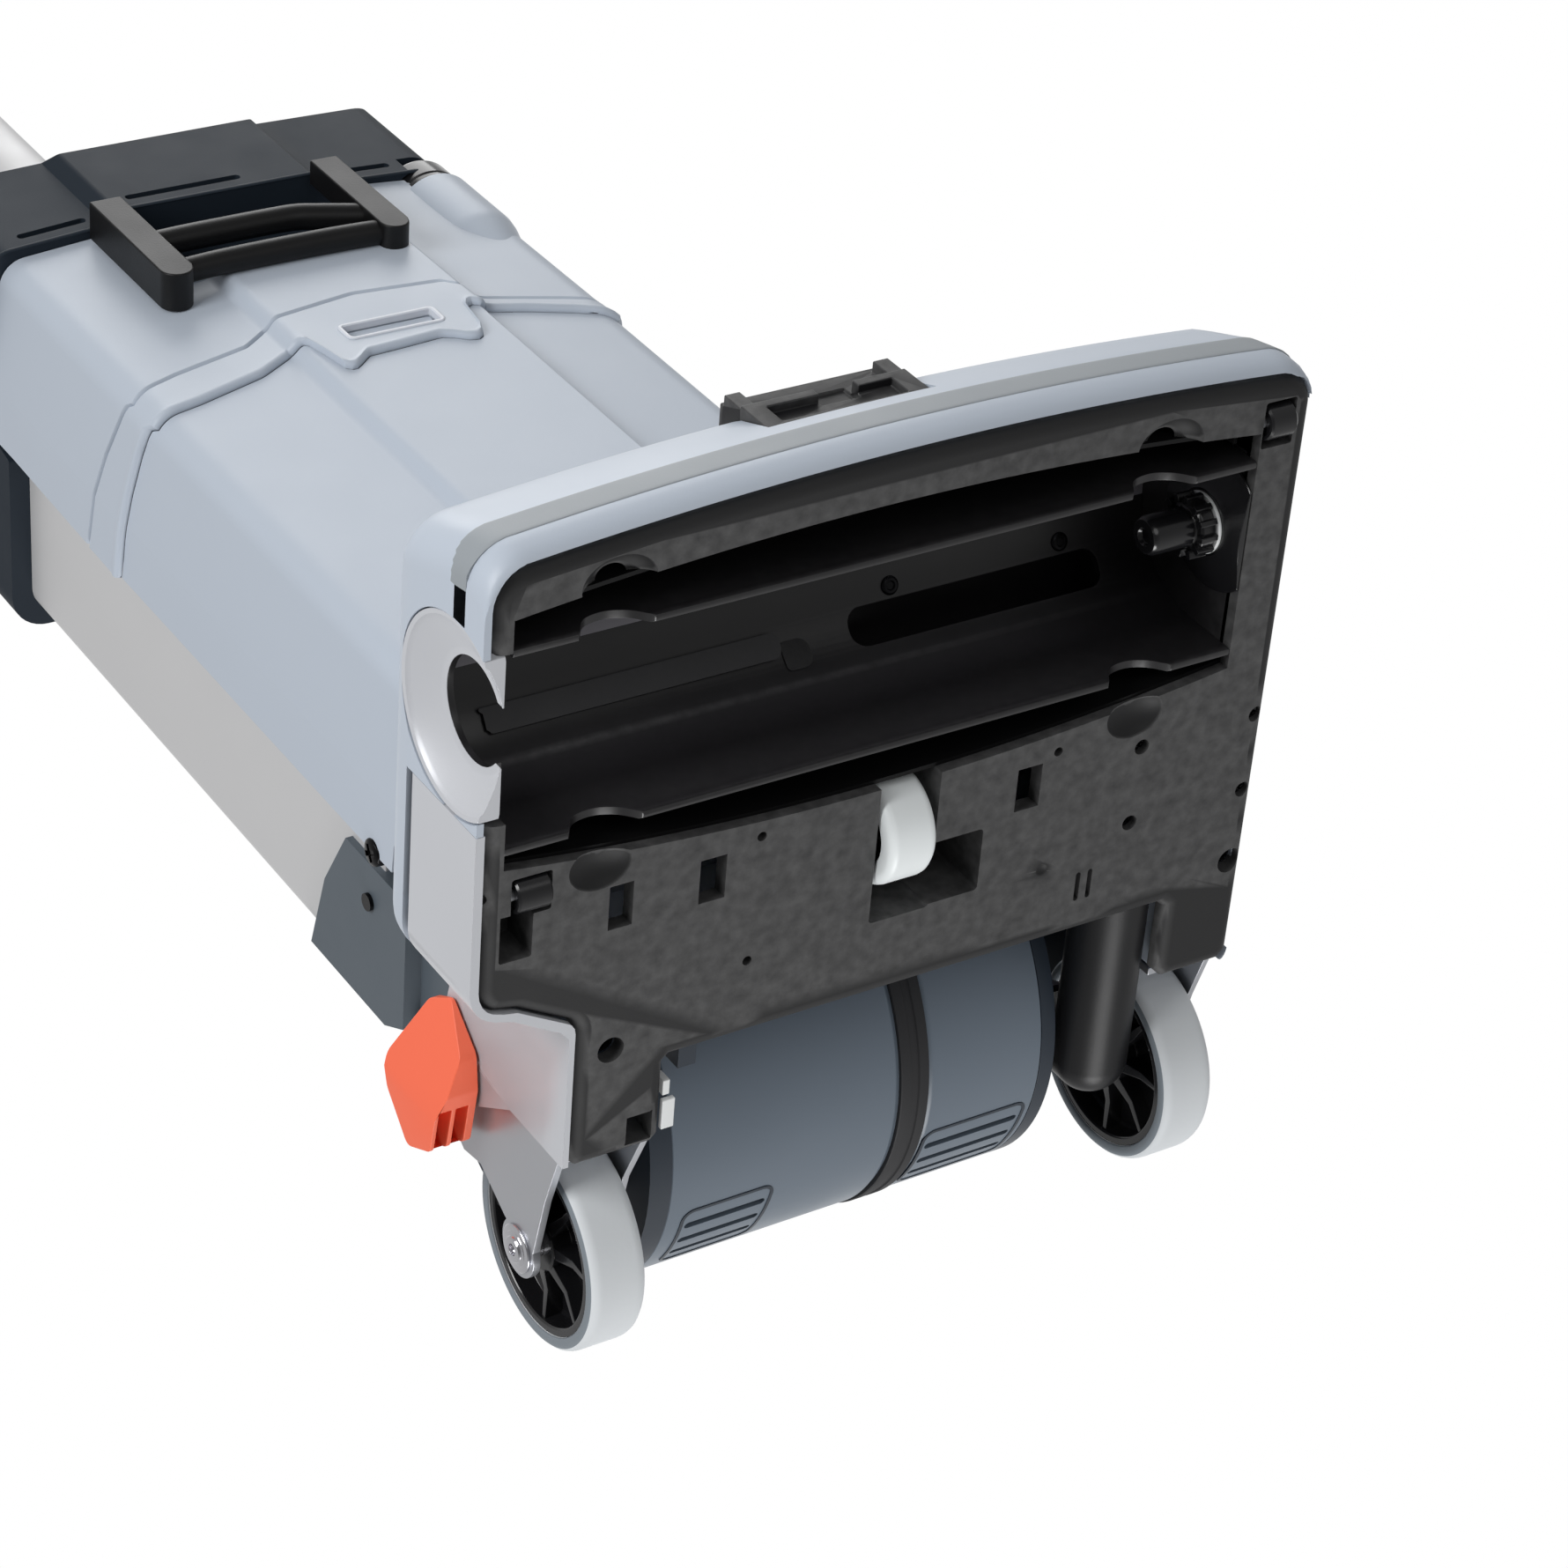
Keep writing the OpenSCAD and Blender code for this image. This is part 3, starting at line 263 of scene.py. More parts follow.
def material(name, rgb, rough=0.5, var=0.05, grain=0.12, gscale=1400, rvar=0.06, metal=0.0, spec=0.5, coat=0.0, coat_rough=0.2, edge=0.0, streak=None, dist=0.00008, spots=0.0):
    m = bpy.data.materials.new(name); m.use_nodes = True
    nt = m.node_tree; N = nt.nodes; L = nt.links
    b = N["Principled BSDF"]
    b.inputs["Metallic"].default_value = metal
    b.inputs["Specular IOR Level"].default_value = spec
    b.inputs["Coat Weight"].default_value = coat
    b.inputs["Coat Roughness"].default_value = coat_rough
    tc = N.new("ShaderNodeTexCoord")
    big = N.new("ShaderNodeTexNoise"); big.inputs["Scale"].default_value = 14; big.inputs["Detail"].default_value = 5
    L.new(tc.outputs["Object"], big.inputs["Vector"])
    c = lin(rgb)
    mix = N.new("ShaderNodeMix"); mix.data_type = "RGBA"
    mix.inputs["A"].default_value = tuple(v * (1 - var) for v in c[:3]) + (1,)
    mix.inputs["B"].default_value = tuple(min(1, v * (1 + var)) for v in c[:3]) + (1,)
    L.new(big.outputs["Fac"], mix.inputs["Factor"])
    col = mix.outputs["Result"]
    if edge:
        g = N.new("ShaderNodeNewGeometry")
        mr = N.new("ShaderNodeMapRange"); mr.inputs["From Min"].default_value = 0.53; mr.inputs["From Max"].default_value = 0.62
        L.new(g.outputs["Pointiness"], mr.inputs["Value"])
        n3 = N.new("ShaderNodeTexNoise"); n3.inputs["Scale"].default_value = 220; n3.inputs["Detail"].default_value = 4
        L.new(tc.outputs["Object"], n3.inputs["Vector"])
        mu = N.new("ShaderNodeMath"); mu.operation = "MULTIPLY"
        L.new(mr.outputs["Result"], mu.inputs[0]); L.new(n3.outputs["Fac"], mu.inputs[1])
        m2 = N.new("ShaderNodeMix"); m2.data_type = "RGBA"
        L.new(mu.outputs[0], m2.inputs["Factor"]); L.new(col, m2.inputs["A"])
        m2.inputs["B"].default_value = tuple(v + (1 - v) * edge for v in c[:3]) + (1,)
        col = m2.outputs["Result"]
    if spots:
        v = N.new("ShaderNodeTexVoronoi"); v.inputs["Scale"].default_value = 95; v.inputs["Randomness"].default_value = 1
        L.new(tc.outputs["Object"], v.inputs["Vector"])
        mr = N.new("ShaderNodeMapRange"); mr.inputs["From Min"].default_value = 0.045; mr.inputs["From Max"].default_value = 0.02
        L.new(v.outputs["Distance"], mr.inputs["Value"])
        m3 = N.new("ShaderNodeMix"); m3.data_type = "RGBA"
        L.new(mr.outputs["Result"], m3.inputs["Factor"]); L.new(col, m3.inputs["A"])
        m3.inputs["B"].default_value = tuple(v2 + (1 - v2) * spots for v2 in c[:3]) + (1,)
        col = m3.outputs["Result"]
    L.new(col, b.inputs["Base Color"])
    r = N.new("ShaderNodeMapRange")
    r.inputs["To Min"].default_value = max(0.02, rough - rvar); r.inputs["To Max"].default_value = min(1, rough + rvar)
    n2 = N.new("ShaderNodeTexNoise"); n2.inputs["Scale"].default_value = 45; n2.inputs["Detail"].default_value = 6
    L.new(tc.outputs["Object"], n2.inputs["Vector"]); L.new(n2.outputs["Fac"], r.inputs["Value"])
    L.new(r.outputs["Result"], b.inputs["Roughness"])
    fine = N.new("ShaderNodeTexNoise"); fine.inputs["Scale"].default_value = gscale; fine.inputs["Detail"].default_value = 2
    if streak:
        mp = N.new("ShaderNodeMapping"); mp.inputs["Scale"].default_value = streak
        L.new(tc.outputs["Object"], mp.inputs["Vector"]); L.new(mp.outputs["Vector"], fine.inputs["Vector"])
    else:
        L.new(tc.outputs["Object"], fine.inputs["Vector"])
    bp = N.new("ShaderNodeBump"); bp.inputs["Strength"].default_value = grain; bp.inputs["Distance"].default_value = dist
    L.new(fine.outputs["Fac"], bp.inputs["Height"]); L.new(bp.outputs["Normal"], b.inputs["Normal"])
    return m

M = {}
M["shell"] = material("shell_plastic", (184, 193, 205), 0.42, 0.02, 0.25, 1500, spec=0.45)
# lighter copy of the shell plastic: painted highlight for lit rims
M["shell_painted_highlight"] = material("shell_painted_highlight", (214, 218, 226), 0.36, 0.02, 0.15, 1500, spec=0.5)
M["silver"] = material("silver_plastic", (200, 202, 207), 0.36, 0.03, 0.2, 1800, spec=0.5, metal=0.15)
M["bumper"] = material("bumper_satin", (146, 152, 157), 0.5, 0.03, 0.3, 1600, spec=0.4)
M["plate"] = material("plate_black", (31, 31, 32), 0.60, 0.03, 0.45, 1300, rvar=0.08, spec=0.35, edge=0.10, spots=0.0)
M["black"] = material("black_plastic", (22, 22, 24), 0.42, 0.10, 0.3, 1300, spec=0.35, edge=0.08)
M["chamber"] = material("chamber_black", (26, 25, 27), 0.34, 0.12, 0.12, 500, rvar=0.07, spec=0.6, edge=0.10)
M["gloss"] = material("gloss_black", (24, 24, 26), 0.20, 0.10, 0.05, 900, rvar=0.05, spec=0.6)
M["rubber"] = material("black_rubber", (44, 44, 46), 0.62, 0.08, 0.5, 1500, spec=0.3)
M["hose"] = material("hose_black", (40, 38, 48), 0.36, 0.08, 0.15, 900, spec=0.5)
M["handle"] = material("handle_black", (13, 13, 14), 0.42, 0.1, 0.6, 1500, spec=0.3)
M["dark"] = material("yoke_grey", (84, 93, 101), 0.46, 0.04, 0.4, 1500, spec=0.4)
M["navy"] = material("navy_plastic", (34, 42, 51), 0.58, 0.05, 0.35, 1500, spec=0.15)
M["navy_dark"] = material("flange_navy", (40, 49, 60), 0.38, 0.06, 0.25, 1500, spec=0.45)
M["motor"] = material("motor_grey", (106, 117, 129), 0.36, 0.04, 0.2, 1500, spec=0.45)
M["tyre"] = material("tyre_rubber", (216, 220, 223), 0.62, 0.05, 0.5, 700, spec=0.3)
M["tyre_side"] = material("tyre_side", (128, 136, 143), 0.55, 0.05, 0.4, 700, spec=0.35)
M["roller"] = material("roller_white", (246, 251, 252), 0.38, 0.03, 0.15, 900, spec=0.45)
M["steel"] = material("zinc_steel", (196, 198, 203), 0.34, 0.06, 0.3, 700, metal=0.85, streak=(1, 1, 0.08))
M["chrome"] = material("bright_steel", (215, 215, 220), 0.16, 0.05, 0.1, 700, metal=1.0)
M["alu"] = material("anodised_aluminium", (212, 212, 213), 0.55, 0.02, 0.35, 900, metal=0.35, streak=(1, 1, 0.02))
M["screw"] = material("black_zinc", (26, 26, 28), 0.24, 0.1, 0.1, 900, metal=0.8)
M["orange"] = material("pedal_orange", (252, 112, 78), 0.44, 0.04, 0.3, 1500, spec=0.45)
M["paper"] = material("filter_paper", (214, 196, 160), 0.85, 0.06, 0.6, 500, spec=0.2)
M["white"] = material("white_plastic", (236, 238, 238), 0.35, 0.02, 0.1, 900)
# lighter grey copy of the chamber black: painted light for the roof's front part
M["chamber_lit"] = material("chamber_painted_highlight", (150, 148, 155), 0.34, 0.10, 0.12, 500, rvar=0.07, spec=0.6)
M["pocket"] = material("pocket_black", (12, 12, 13), 0.6, 0.1, 0.2, 900, spec=0.2)
M["patch"] = material("patch_black", (52, 52, 54), 0.45, 0.15, 0.5, 400, spec=0.4)
M["dip"] = material("dip_gloss", (40, 40, 42), 0.16, 0.08, 0.03, 900, spec=0.6)

# ------------------------------------------------------------------ outlines shared by several pieces
BY, BZ = 145.0, 26.0            # brush axis
CY, CZ, CR = 138.0, 31.0, 35.0  # chamber
MY, MZ = -71.0, 105.0           # motor
M0, M1 = -139.0, 144.6
def front_y(x): return 217 - 0.00034 * (x + 15) ** 2
def plate_y(x): return 211.5 - 0.00034 * (x + 15) ** 2
def mouth_front(x): return 195 - 0.00042 * (x - 3) ** 2
def mouth_rear(x): return 85 + 0.0005 * (x - 3) ** 2

def dens(pts, step=6):
    out = []
    for a, b in zip(pts, pts[1:] + pts[:1]):
        n = max(1, int(math.hypot(b[0] - a[0], b[1] - a[1]) / step))
        out += [(a[0] + (b[0] - a[0]) * k / n, a[1] + (b[1] - a[1]) * k / n) for k in range(n)]
    return out

# ------------------------------------------------------------------ base plate
PLATE = (arc(139.5, 191.5, 12, 0, 90, 8)
         + [(139.5 - k * 287 / 24, plate_y(139.5 - k * 287 / 24)) for k in range(1, 24)]
         + arc(-147.5, 193.5, 12, 90, 180, 8)
         + [(-159.5, -30), (-155.5, -34), (-131, -34), (-127, -30), (-127, -2), (-125, 0), (77, 0), (79, -2), (79, -32), (82, -35), (111, -35), (114.5, -31.5)]
         + arc(120.5, 22, 6, 180, 120, 5) + [(137, 38)] + arc(139.5, 50, 12, -58, 0, 6))

def base_plate():
    P = dens(PLATE, 7)
    rows = []
    for z, d in [(14.0, 0.0), (11.6, 0.0), (10.4, 0.55), (9.4, 1.5), (8.6, 2.9), (8.0, 5.2)]:
        rows.append([(x, y, z) for x, y in offset(P, d)])
    bm = bmesh.new()
    loft(bm, rows[::-1], cu=True, cap0=True, cap1=True)
    me = to_mesh(bm, "base_plate"); me.materials.append(M["plate"])
    for b in [(-44.6, 4.4, 27.3, 83.6, 43), (124.4, 147.6, 54.6, 84.5, 26), (-155.4, -137.4, 177, 199.6, 27), (-129.8, -95, 0.2, 6, 42),
              (79.2, 82, -34.6, -1, 22), (79.4, 113.6, -34.4, -32, 22.2), (-157, -133.2, -31, -28.6, 22)]:
        k = bmesh.new(); box(k, b[0], b[1], b[2], b[3], 12.6, b[4]); k = to_mesh(k); k.materials.append(M["plate"])
        me = cut(me, k, op="UNION", mats=True)
    # union the blocks with the slab, then cut
    cutters = []
    def add(fn):
        b = bmesh.new(); fn(b); m = to_mesh(b, "c"); cutters.append(m); return m
    mouth = [(M0 + (M1 - M0) * k / 30, mouth_rear(M0 + (M1 - M0) * k / 30)) for k in range(31)] + [(M0 + (M1 - M0) * k / 30, mouth_front(M0 + (M1 - M0) * k / 30)) for k in range(30, -1, -1)]
    def holes(b):
        for h in [(96, 105, 60, 77), (61, 71, 60, 77), (-64, -54, 60, 77), (82.9, 93, -31.9, -20)]:
            box(b, *h, 5, 20)
        for x, y, r in [(48, 80, 1.8), (50, 31, 1.8), (-70, 80, 1.8), (-106, 72, 3), (-105, 41, 3), (-155, 72, 3), (-154, 41, 3), (-153, 11, 5), (101, 11, 5)]:
            cyl(b, "z", r, 5, 20, (x, y), 32)
        # narrow double slot beside the duct
        for x0 in (-91.5, -86.5):
            prism(b, fillet([(x0, 14, 1), (x0 + 2, 14, 1), (x0 + 2, 26, 1), (x0, 26, 1)], 3), 5, 20)
        # small notches in the rim
        cyl(b, "z", 2.6, 5, 20, (152.2, 85), 24)
    slab_cut = [lambda b: prism(b, mouth, 5, 20), holes,
                lambda b: box(b, M1 - 0.6, 170, 112.5, 175, 5, 20)]
    well_cut = [lambda b: prism(b, fillet([(-22, 31, 1.5), (2, 31, 1.5), (2, 85.5, 0.2), (-22, 85.5, 0.2)], 4), 5, 41),
                lambda b: prism(b, fillet([(-42, 32, 1.5), (-20.5, 32, 0.2), (-20.5, 57, 0.2), (-42, 57, 1.5)], 4), 5, 38),
                lambda b: prism(b, fillet([(126.6, 75.5, 1), (141.4, 75.5, 0.2), (141.4, 90.5, 1), (126.6, 90.5, 1)], 4), 5, 24),
                lambda b: prism(b, fillet([(133, 59, 1), (145, 59, 1), (145, 77, 0.2), (133, 77, 0.2)], 4), 5, 24),
                lambda b: prism(b, fillet([(-152.2, 180.5, 1), (-139.3, 180.5, 1), (-139.3, 198, 1), (-152.2, 198, 1)], 4), 5, 25),
                lambda b: cyl(b, "y", 11.5, -3, 8, (-116, 26), 48)]
    ms = []
    for fns in (slab_cut, well_cut):
        for fn in fns:
            b = bmesh.new(); fn(b); m = to_mesh(b, "c"); ms.append(m)
    if "chamber_black" not in [q.name for q in me.materials if q]: me.materials.append(M["chamber"])
    for m in ms:
        m.materials.append(M["chamber"])
    me = cut(me, *ms, mats=True)
    # dished pads and dips
    ds = []
    for cx, cy, cz, r in [(108, 190.5, 5.4, (14, 10.5, 9.4)), (-101, 190.5, 5.4, (14, 10.5, 9.4)), (109, 86.2, 5.2, (12.8, 9.8, 6.8)), (-101, 86.2, 5.2, (12.8, 9.8, 6.8)), (-69, 32, 4.6, (4.2, 4.2, 4.2))]:
        b = bmesh.new(); ball(b, (cx, cy, cz), r, 40); m = to_mesh(b, "c"); m.materials.append(M["dip"]); ds.append(m)
    me = cut(me, *ds, mats=True)
    names = [m.name for m in me.materials if m]
    return me, [bpy.data.materials[n] for n in names]

me, mats = base_plate()
put("plate_moulding", me, mats, "base", "base_plate", bev=0.7, seg=3, bang=40, sharp=40)

# ------------------------------------------------------------------ brush chamber: roof, lips, dips, suction mouth
def tunnel():
    prof = []
    outer = CR + 3; inner = CR
    prof += [(CY + outer * cos(radians(a)), CZ + outer * sin(radians(a))) for a in range(0, 181, 5)]      # outside, front to rear
    prof += [(CY - outer, 10.6), (CY - outer - 0.1, 9.2), (CY - outer + 0.4, 8.3), (CY - outer + 1.5, 8.0), (CY - inner - 0.4, 8.3), (CY - inner + 0.0, 9.2), (CY - inner, 11)]
    prof += [(CY + inner * cos(radians(a)), CZ + inner * sin(radians(a))) for a in range(180, -1, -4)]
    prof += [(CY + inner, 11), (CY + inner, 9.2), (CY + inner + 0.4, 8.3), (CY + outer - 1.5, 8.0), (CY + outer - 0.4, 8.3), (CY + outer, 9.2), (CY + outer, 10.6)]
    bm = bmesh.new(); prism(bm, prof, M0 + 0.1, M1 - 0.1, "x")
    me = to_mesh(bm, "tunnel"); me.materials.append(M["chamber"])
    cs = []
    def c(fn, mat="chamber"):
        b = bmesh.new(); fn(b); m = to_mesh(b, "c"); m.materials.append(M[mat]); cs.append(m)
    # dips in both lips: steeper towards +x
    for x, w in ((108, 13.5), (-101, 13.0)):
        pts = [(x - w - 5, 0), (x - w - 4, 7.4), (x - w, 8.6), (x - w * 0.55, 14.2), (x, 16.8), (x + w * 0.6, 15.2), (x + w * 0.96, 8.8), (x + w + 1.5, 7.4), (x + w + 2, 0)]
        q = spline([(a, 0, z) for a, z in pts[1:-1]], 5)
        poly = [(pts[0][0], 0)] + [(p.x, p.z) for p in q] + [(pts[-1][0], 0)]
        c(lambda b: prism(b, poly, 95, 179, "y"), "dip")
    # suction mouth, a dark recess with rounded ends in the rear part of the roof
    def wedge(x0, x1, a0, a1, r0, r1, rnd):
        def f(b):
            rows = []
            a0r, a1r = radians(a0), radians(a1)
            pl = fillet([(x0, a0, 0), (x0, a1, 0), (x1, a1, 0), (x1, a0, 0)], 1)
            mid = [(x0, a0), (x1, a0), (x1, a1), (x0, a1)]
            k = CR * pi / 180
            pp = fillet([(x, a * k, rnd) for x, a in mid], 5)
            lo = []; hi = []
            for x, s in pp:
                a = s / k
                lo.append((x, CY - r0 * sin(radians(a)), CZ + r0 * cos(radians(a))))
                hi.append((x, CY - r1 * sin(radians(a)), CZ + r1 * cos(radians(a))))
            loft(b, [lo, hi], cu=True, cap0=True, cap1=True)
        return f
    c(wedge(-117, -14, 29, 52, 33, 40, 6), "chamber")
    for x, a in ((-112, 24), (-24, 56)):
        pass
    me = cut(me, *cs, mats=True)
    names = [m.name for m in me.materials if m]
    o = put("chamber_roof", me, [bpy.data.materials[n] for n in names], "base", "brush_tunnel", bev=0.45, seg=2, bang=38, sharp=38)
    # faces on the front upper inside of the roof get the lighter grey copy: painted light where light from the rear and
    # below falls
    o.data.materials.append(M["chamber_lit"]); k = len(o.data.materials) - 1
    for p in o.data.polygons:
        c = TO_MM @ p.center if abs(p.center.z) < 1 and abs(p.center.y) < 1 else p.center
        v = Vector((0, CY - c.y, CZ - c.z))
        if v.length and p.normal.dot(v.normalized()) > 0.5 and c.y > CY - 4 and c.z > 40: p.material_index = k
    return o
tunnel()

def roof_strip(name, x0, x1, a0, a1, h, mat, wave=0):
    """Raised strip moulded on the chamber's roof."""
    k = CR * pi / 180
    rim = fillet([(x0, a0 * k, (a1 - a0) * k * 0.42), (x0, a1 * k, (a1 - a0) * k * 0.42), (x1, a1 * k, 1.5), (x1, a0 * k, 1.5)], 8)
    rim = dens(rim, 3)
    if wave:
        rim = [(x + (1.5 * sin(y * 1.1) if x > x1 - 4 else 0), y) for x, y in rim]
    bm = bmesh.new()
    rows = []
    for d, r in ((0, CR + 0.6), (0, CR - h * 0.7), (0.5, CR - h)):
        rows.append([(x, CY - r * sin(s / k * pi / 180), CZ + r * cos(s / k * pi / 180)) for x, s in offset(rim, d)])
    loft(bm, rows, cu=True, cap1=True)
    return put(name, bm, M[mat], "base", bev=0.3, seg=2, bang=40)
roof_strip("roof_strip", 14, 126, 31.5, 45.5, 1.5, "patch", 1)
roof_strip("roof_patch", 3, 13, 38, 54, 0.5, "black")
# screws beside the suction mouth
bm = bmesh.new()
for x, a in ((-103, 22), (-33, 22)):
    r = CR - 0.1; p = (CY - r * sin(radians(a)), CZ + r * cos(radians(a)))
    b2 = bmesh.new(); lathe(b2, [(0, -2), (3.4, -2), (3.4, 0.4), (2.6, 0.9), (1.6, 0.9), (1.5, 0.3), (0, 0.3)], "z", (0, 0), 24)
    b2.transform(Matrix.Translation((x, p[0], p[1])) @ Matrix.Rotation(radians(a), 4, "X") @ Matrix.Rotation(pi, 4, "X"))
    merge(bm, b2)
put("roof_screws", bm, M["screw"], "base", bev=0.15, seg=1)
# inner box above the suction mouth so that it reads as deep and dark
bm = bmesh.new()
box(bm, -120, -11, 96, 122, 56, 74)
me = to_mesh(bm); me.materials.append(M["chamber"])
b = bmesh.new(); box(b, -118, -13, 98, 120, 50, 72); m = to_mesh(b); m.materials.append(M["chamber"])
c3 = bmesh.new(); cyl(c3, "x", CR + 1.5, -130, 0, (CY, CZ), 96); m3 = to_mesh(c3); m3.materials.append(M["chamber"])
me = cut(me, m, m3, mats=True)
put("suction_box", me, M["chamber"], "base")

# ends of the chamber
def end_profile(r, x0, x1, mat, name, node, holes=()):
    pts = [(CY - r, 12.2), (CY - r, CZ)] + [(CY + r * cos(radians(a)), CZ + r * sin(radians(a))) for a in range(175, 4, -5)] + [(CY + r, CZ), (CY + r, 12.2)]
    rear = mouth_rear(x0); fr = mouth_front(x0)
    poly = [(rear - 1.5, 12.2), (rear - 1.5, 33), (CY - r - 0.3, 33)] + [(CY + r * cos(radians(a)), CZ + r * sin(radians(a))) for a in range(175, 4, -5)] + [(CY + r + 0.3, 44), (fr + 2.3, 44), (fr + 2.3, 12.2)]
    bm = bmesh.new(); prism(bm, poly, x0, x1, "x"); me = to_mesh(bm, name); me.materials.append(M[mat])
    cs = []
    for h in holes:
        b = bmesh.new(); h(b); m = to_mesh(b); m.materials.append(M[mat]); cs.append(m)
    if cs: me = cut(me, *cs, mats=True)
    return put(name, me, M[mat], "base", node, bev=0.3, seg=2)
end_profile(CR + 3, M1, M1 + 2.4, "chamber", "chamber_end_right", "tunnel_end_right",
            [lambda b: cyl(b, "x", 18, 140, 150, (BY, BZ), 64), lambda b: box(b, 140, 150, BY - 11.2, BY + 11.2, 0, BZ)])
end_profile(CR + 3, M0 - 2.9, M0, "chamber", "chamber_end_left", "tunnel_end_left", [lambda b: cyl(b, "x", 7.05, -150, -130, (BY, BZ), 48),
            lambda b: box(b, -150, M0 - 0.9, 181, 199, 0, 19), lambda b: cyl(b, "x", 2.5, -150, -130, (189.5, 11), 24)])
# cone that carries the drive coupling
bm = bmesh.new()
lathe(bm, [(7.2, -138.6), (26, -138.6), (25.6, -138.0), (21, -137.2), (14.2, -134.9), (12.4, -134.2), (12.0, -133.9), (7.2, -133.9)], "x", (BY, BZ), 96, closed=True)
me = to_mesh(bm); me.materials.append(M["gloss"])
k1 = bmesh.new(); box(k1, -150, -120, 80, 220, -20, 8.1); k1 = to_mesh(k1)
k2 = bmesh.new(); lathe(k2, [(CR - 0.3, -150), (CR + 30, -150), (CR + 30, -120), (CR - 0.3, -120)], "x", (CY, CZ), 96, closed=True); k2 = to_mesh(k2)
me = cut(me, k1, k2)
put("drive_cone", me, M["gloss"], "base", bev=0.3, seg=2, bang=40)
# white ring and toothed coupling
bm = bmesh.new(); lathe(bm, [(7.5, -133.8), (11, -133.8), (11.1, -133.2), (10.7, -132.7), (7.5, -132.7)], "x", (BY, BZ), 72, closed=True)
put("drive_ring_v", bm, M["white"], "base", "drive_ring")
def drive():
    bm = bmesh.new()
    lathe(bm, [(0, -147.6), (7, -147.6), (7, -132.4), (9.9, -132.2), (10.0, -131.8), (10.0, -127.2), (9.2, -126.4), (7.4, -126.1), (7.0, -125.6), (7.0, -111.2), (6.0, -109.2), (3.2, -109.0), (2.6, -110.5), (0, -110.6)], "x", (BY, BZ), 64)
    for i in range(12):
        b2 = bmesh.new(); 
        prism(b2, fillet([(-1.35, 8.4, 0), (1.35, 8.4, 0), (1.05, 11.55, 0.5), (-1.05, 11.55, 0.5)], 3), -132.2, -125.2, "x")
        b2.transform(Matrix.Translation((0, BY, BZ)) @ Matrix.Rotation(radians(30 * i), 4, "X"))
        merge(bm, b2)
    lathe2 = bmesh.new(); lathe(lathe2, [(0, -154), (9.2, -154), (9.2, -153.4), (8.6, -153), (8.6, -148), (9.2, -147.6), (9.2, -147.1), (0, -147.1)], "x", (BY, BZ), 48); merge(bm, lathe2)
    return put("drive_coupling", bm, M["gloss"], "brush_drive", "brush_drive", bev=0.25, seg=2, bang=40)
drive()

# walls of the two air pockets
def air(name, node, rows, mat="pocket"):
    bm = bmesh.new(); loft(bm, rows); return put(name, bm, M[mat], "base", node, solid=1.6)
xs = [M0 + (M1 - M0) * k / 24 for k in range(25)]
air("pocket_front", "air_guide_front", [[(x, mouth_front(x) + 0.1, 12.2) for x in xs], [(x, mouth_front(x) + 0.1, 37) for x in xs], [(x, mouth_front(x) - 1.2, 40.6) for x in xs], [(x, mouth_front(x) - 4, 41.6) for x in xs], [(x, 176.3, 41.6) for x in xs]])
air("pocket_rear", "air_guide_rear", [[(x, 99.7, 30.6) for x in xs], [(x, mouth_rear(x) + 2.5, 30.6) for x in xs], [(x, mouth_rear(x) + 0.4, 29.6) for x in xs], [(x, mouth_rear(x) - 0.1, 27.5) for x in xs], [(x, mouth_rear(x) - 0.1, 12.2) for x in xs]])

# ------------------------------------------------------------------ head cover
def hw_at(z): return 160.0 if z <= 54 else 134 + sqrt(max(0.0, 26 ** 2 - (z - 54) ** 2))
RIGHT_IN = 5.0          # the user's right side stands this much nearer the middle
DZ = [(7, 6.2), (8, 5.5), (8.6, 3.6), (10, 1.8), (13, 0.4), (17, 0), (20, 0), (34, 2.5), (60, 11.5), (66, 15), (70, 20.5), (73, 28), (76, 41), (78.5, 58), (80, 77)]
def head_outline(z, e=0.0, rear=16.0):
    """Plan of the cover at height z, pulled in by e."""
    w = hw_at(z) - e; d = interp(DZ, z) + e
    r = 16 - e * 0.6
    fy = lambda x: front_y(x) - d
    v = w - RIGHT_IN
    pts = arc(v - r, fy(v - r) - r, r, 0, 90, 8)
    pts += [(v - r - (v + w - 2 * r) * k / 26, fy(v - r - (v + w - 2 * r) * k / 26)) for k in range(1, 26)]
    pts += arc(-w + r, fy(-w + r) - r, r, 90, 180, 8)
    ys = [140, 100, 60, rear + e]
    pts += [(-w, y) for y in ys]
    pts += [(-w + 30, rear + e), (0, rear + e), (82, rear + e), (116.5, rear + e), (117, 21 + e)]
    pts += [(v - 14 + (14 - e) * cos(radians(a)), 50 + (14 - e) * sin(radians(a))) for a in (-76, -60, -45, -30, -15, 0)]
    pts += [(v, y) for y in (60, 100, 140)]
    return pts

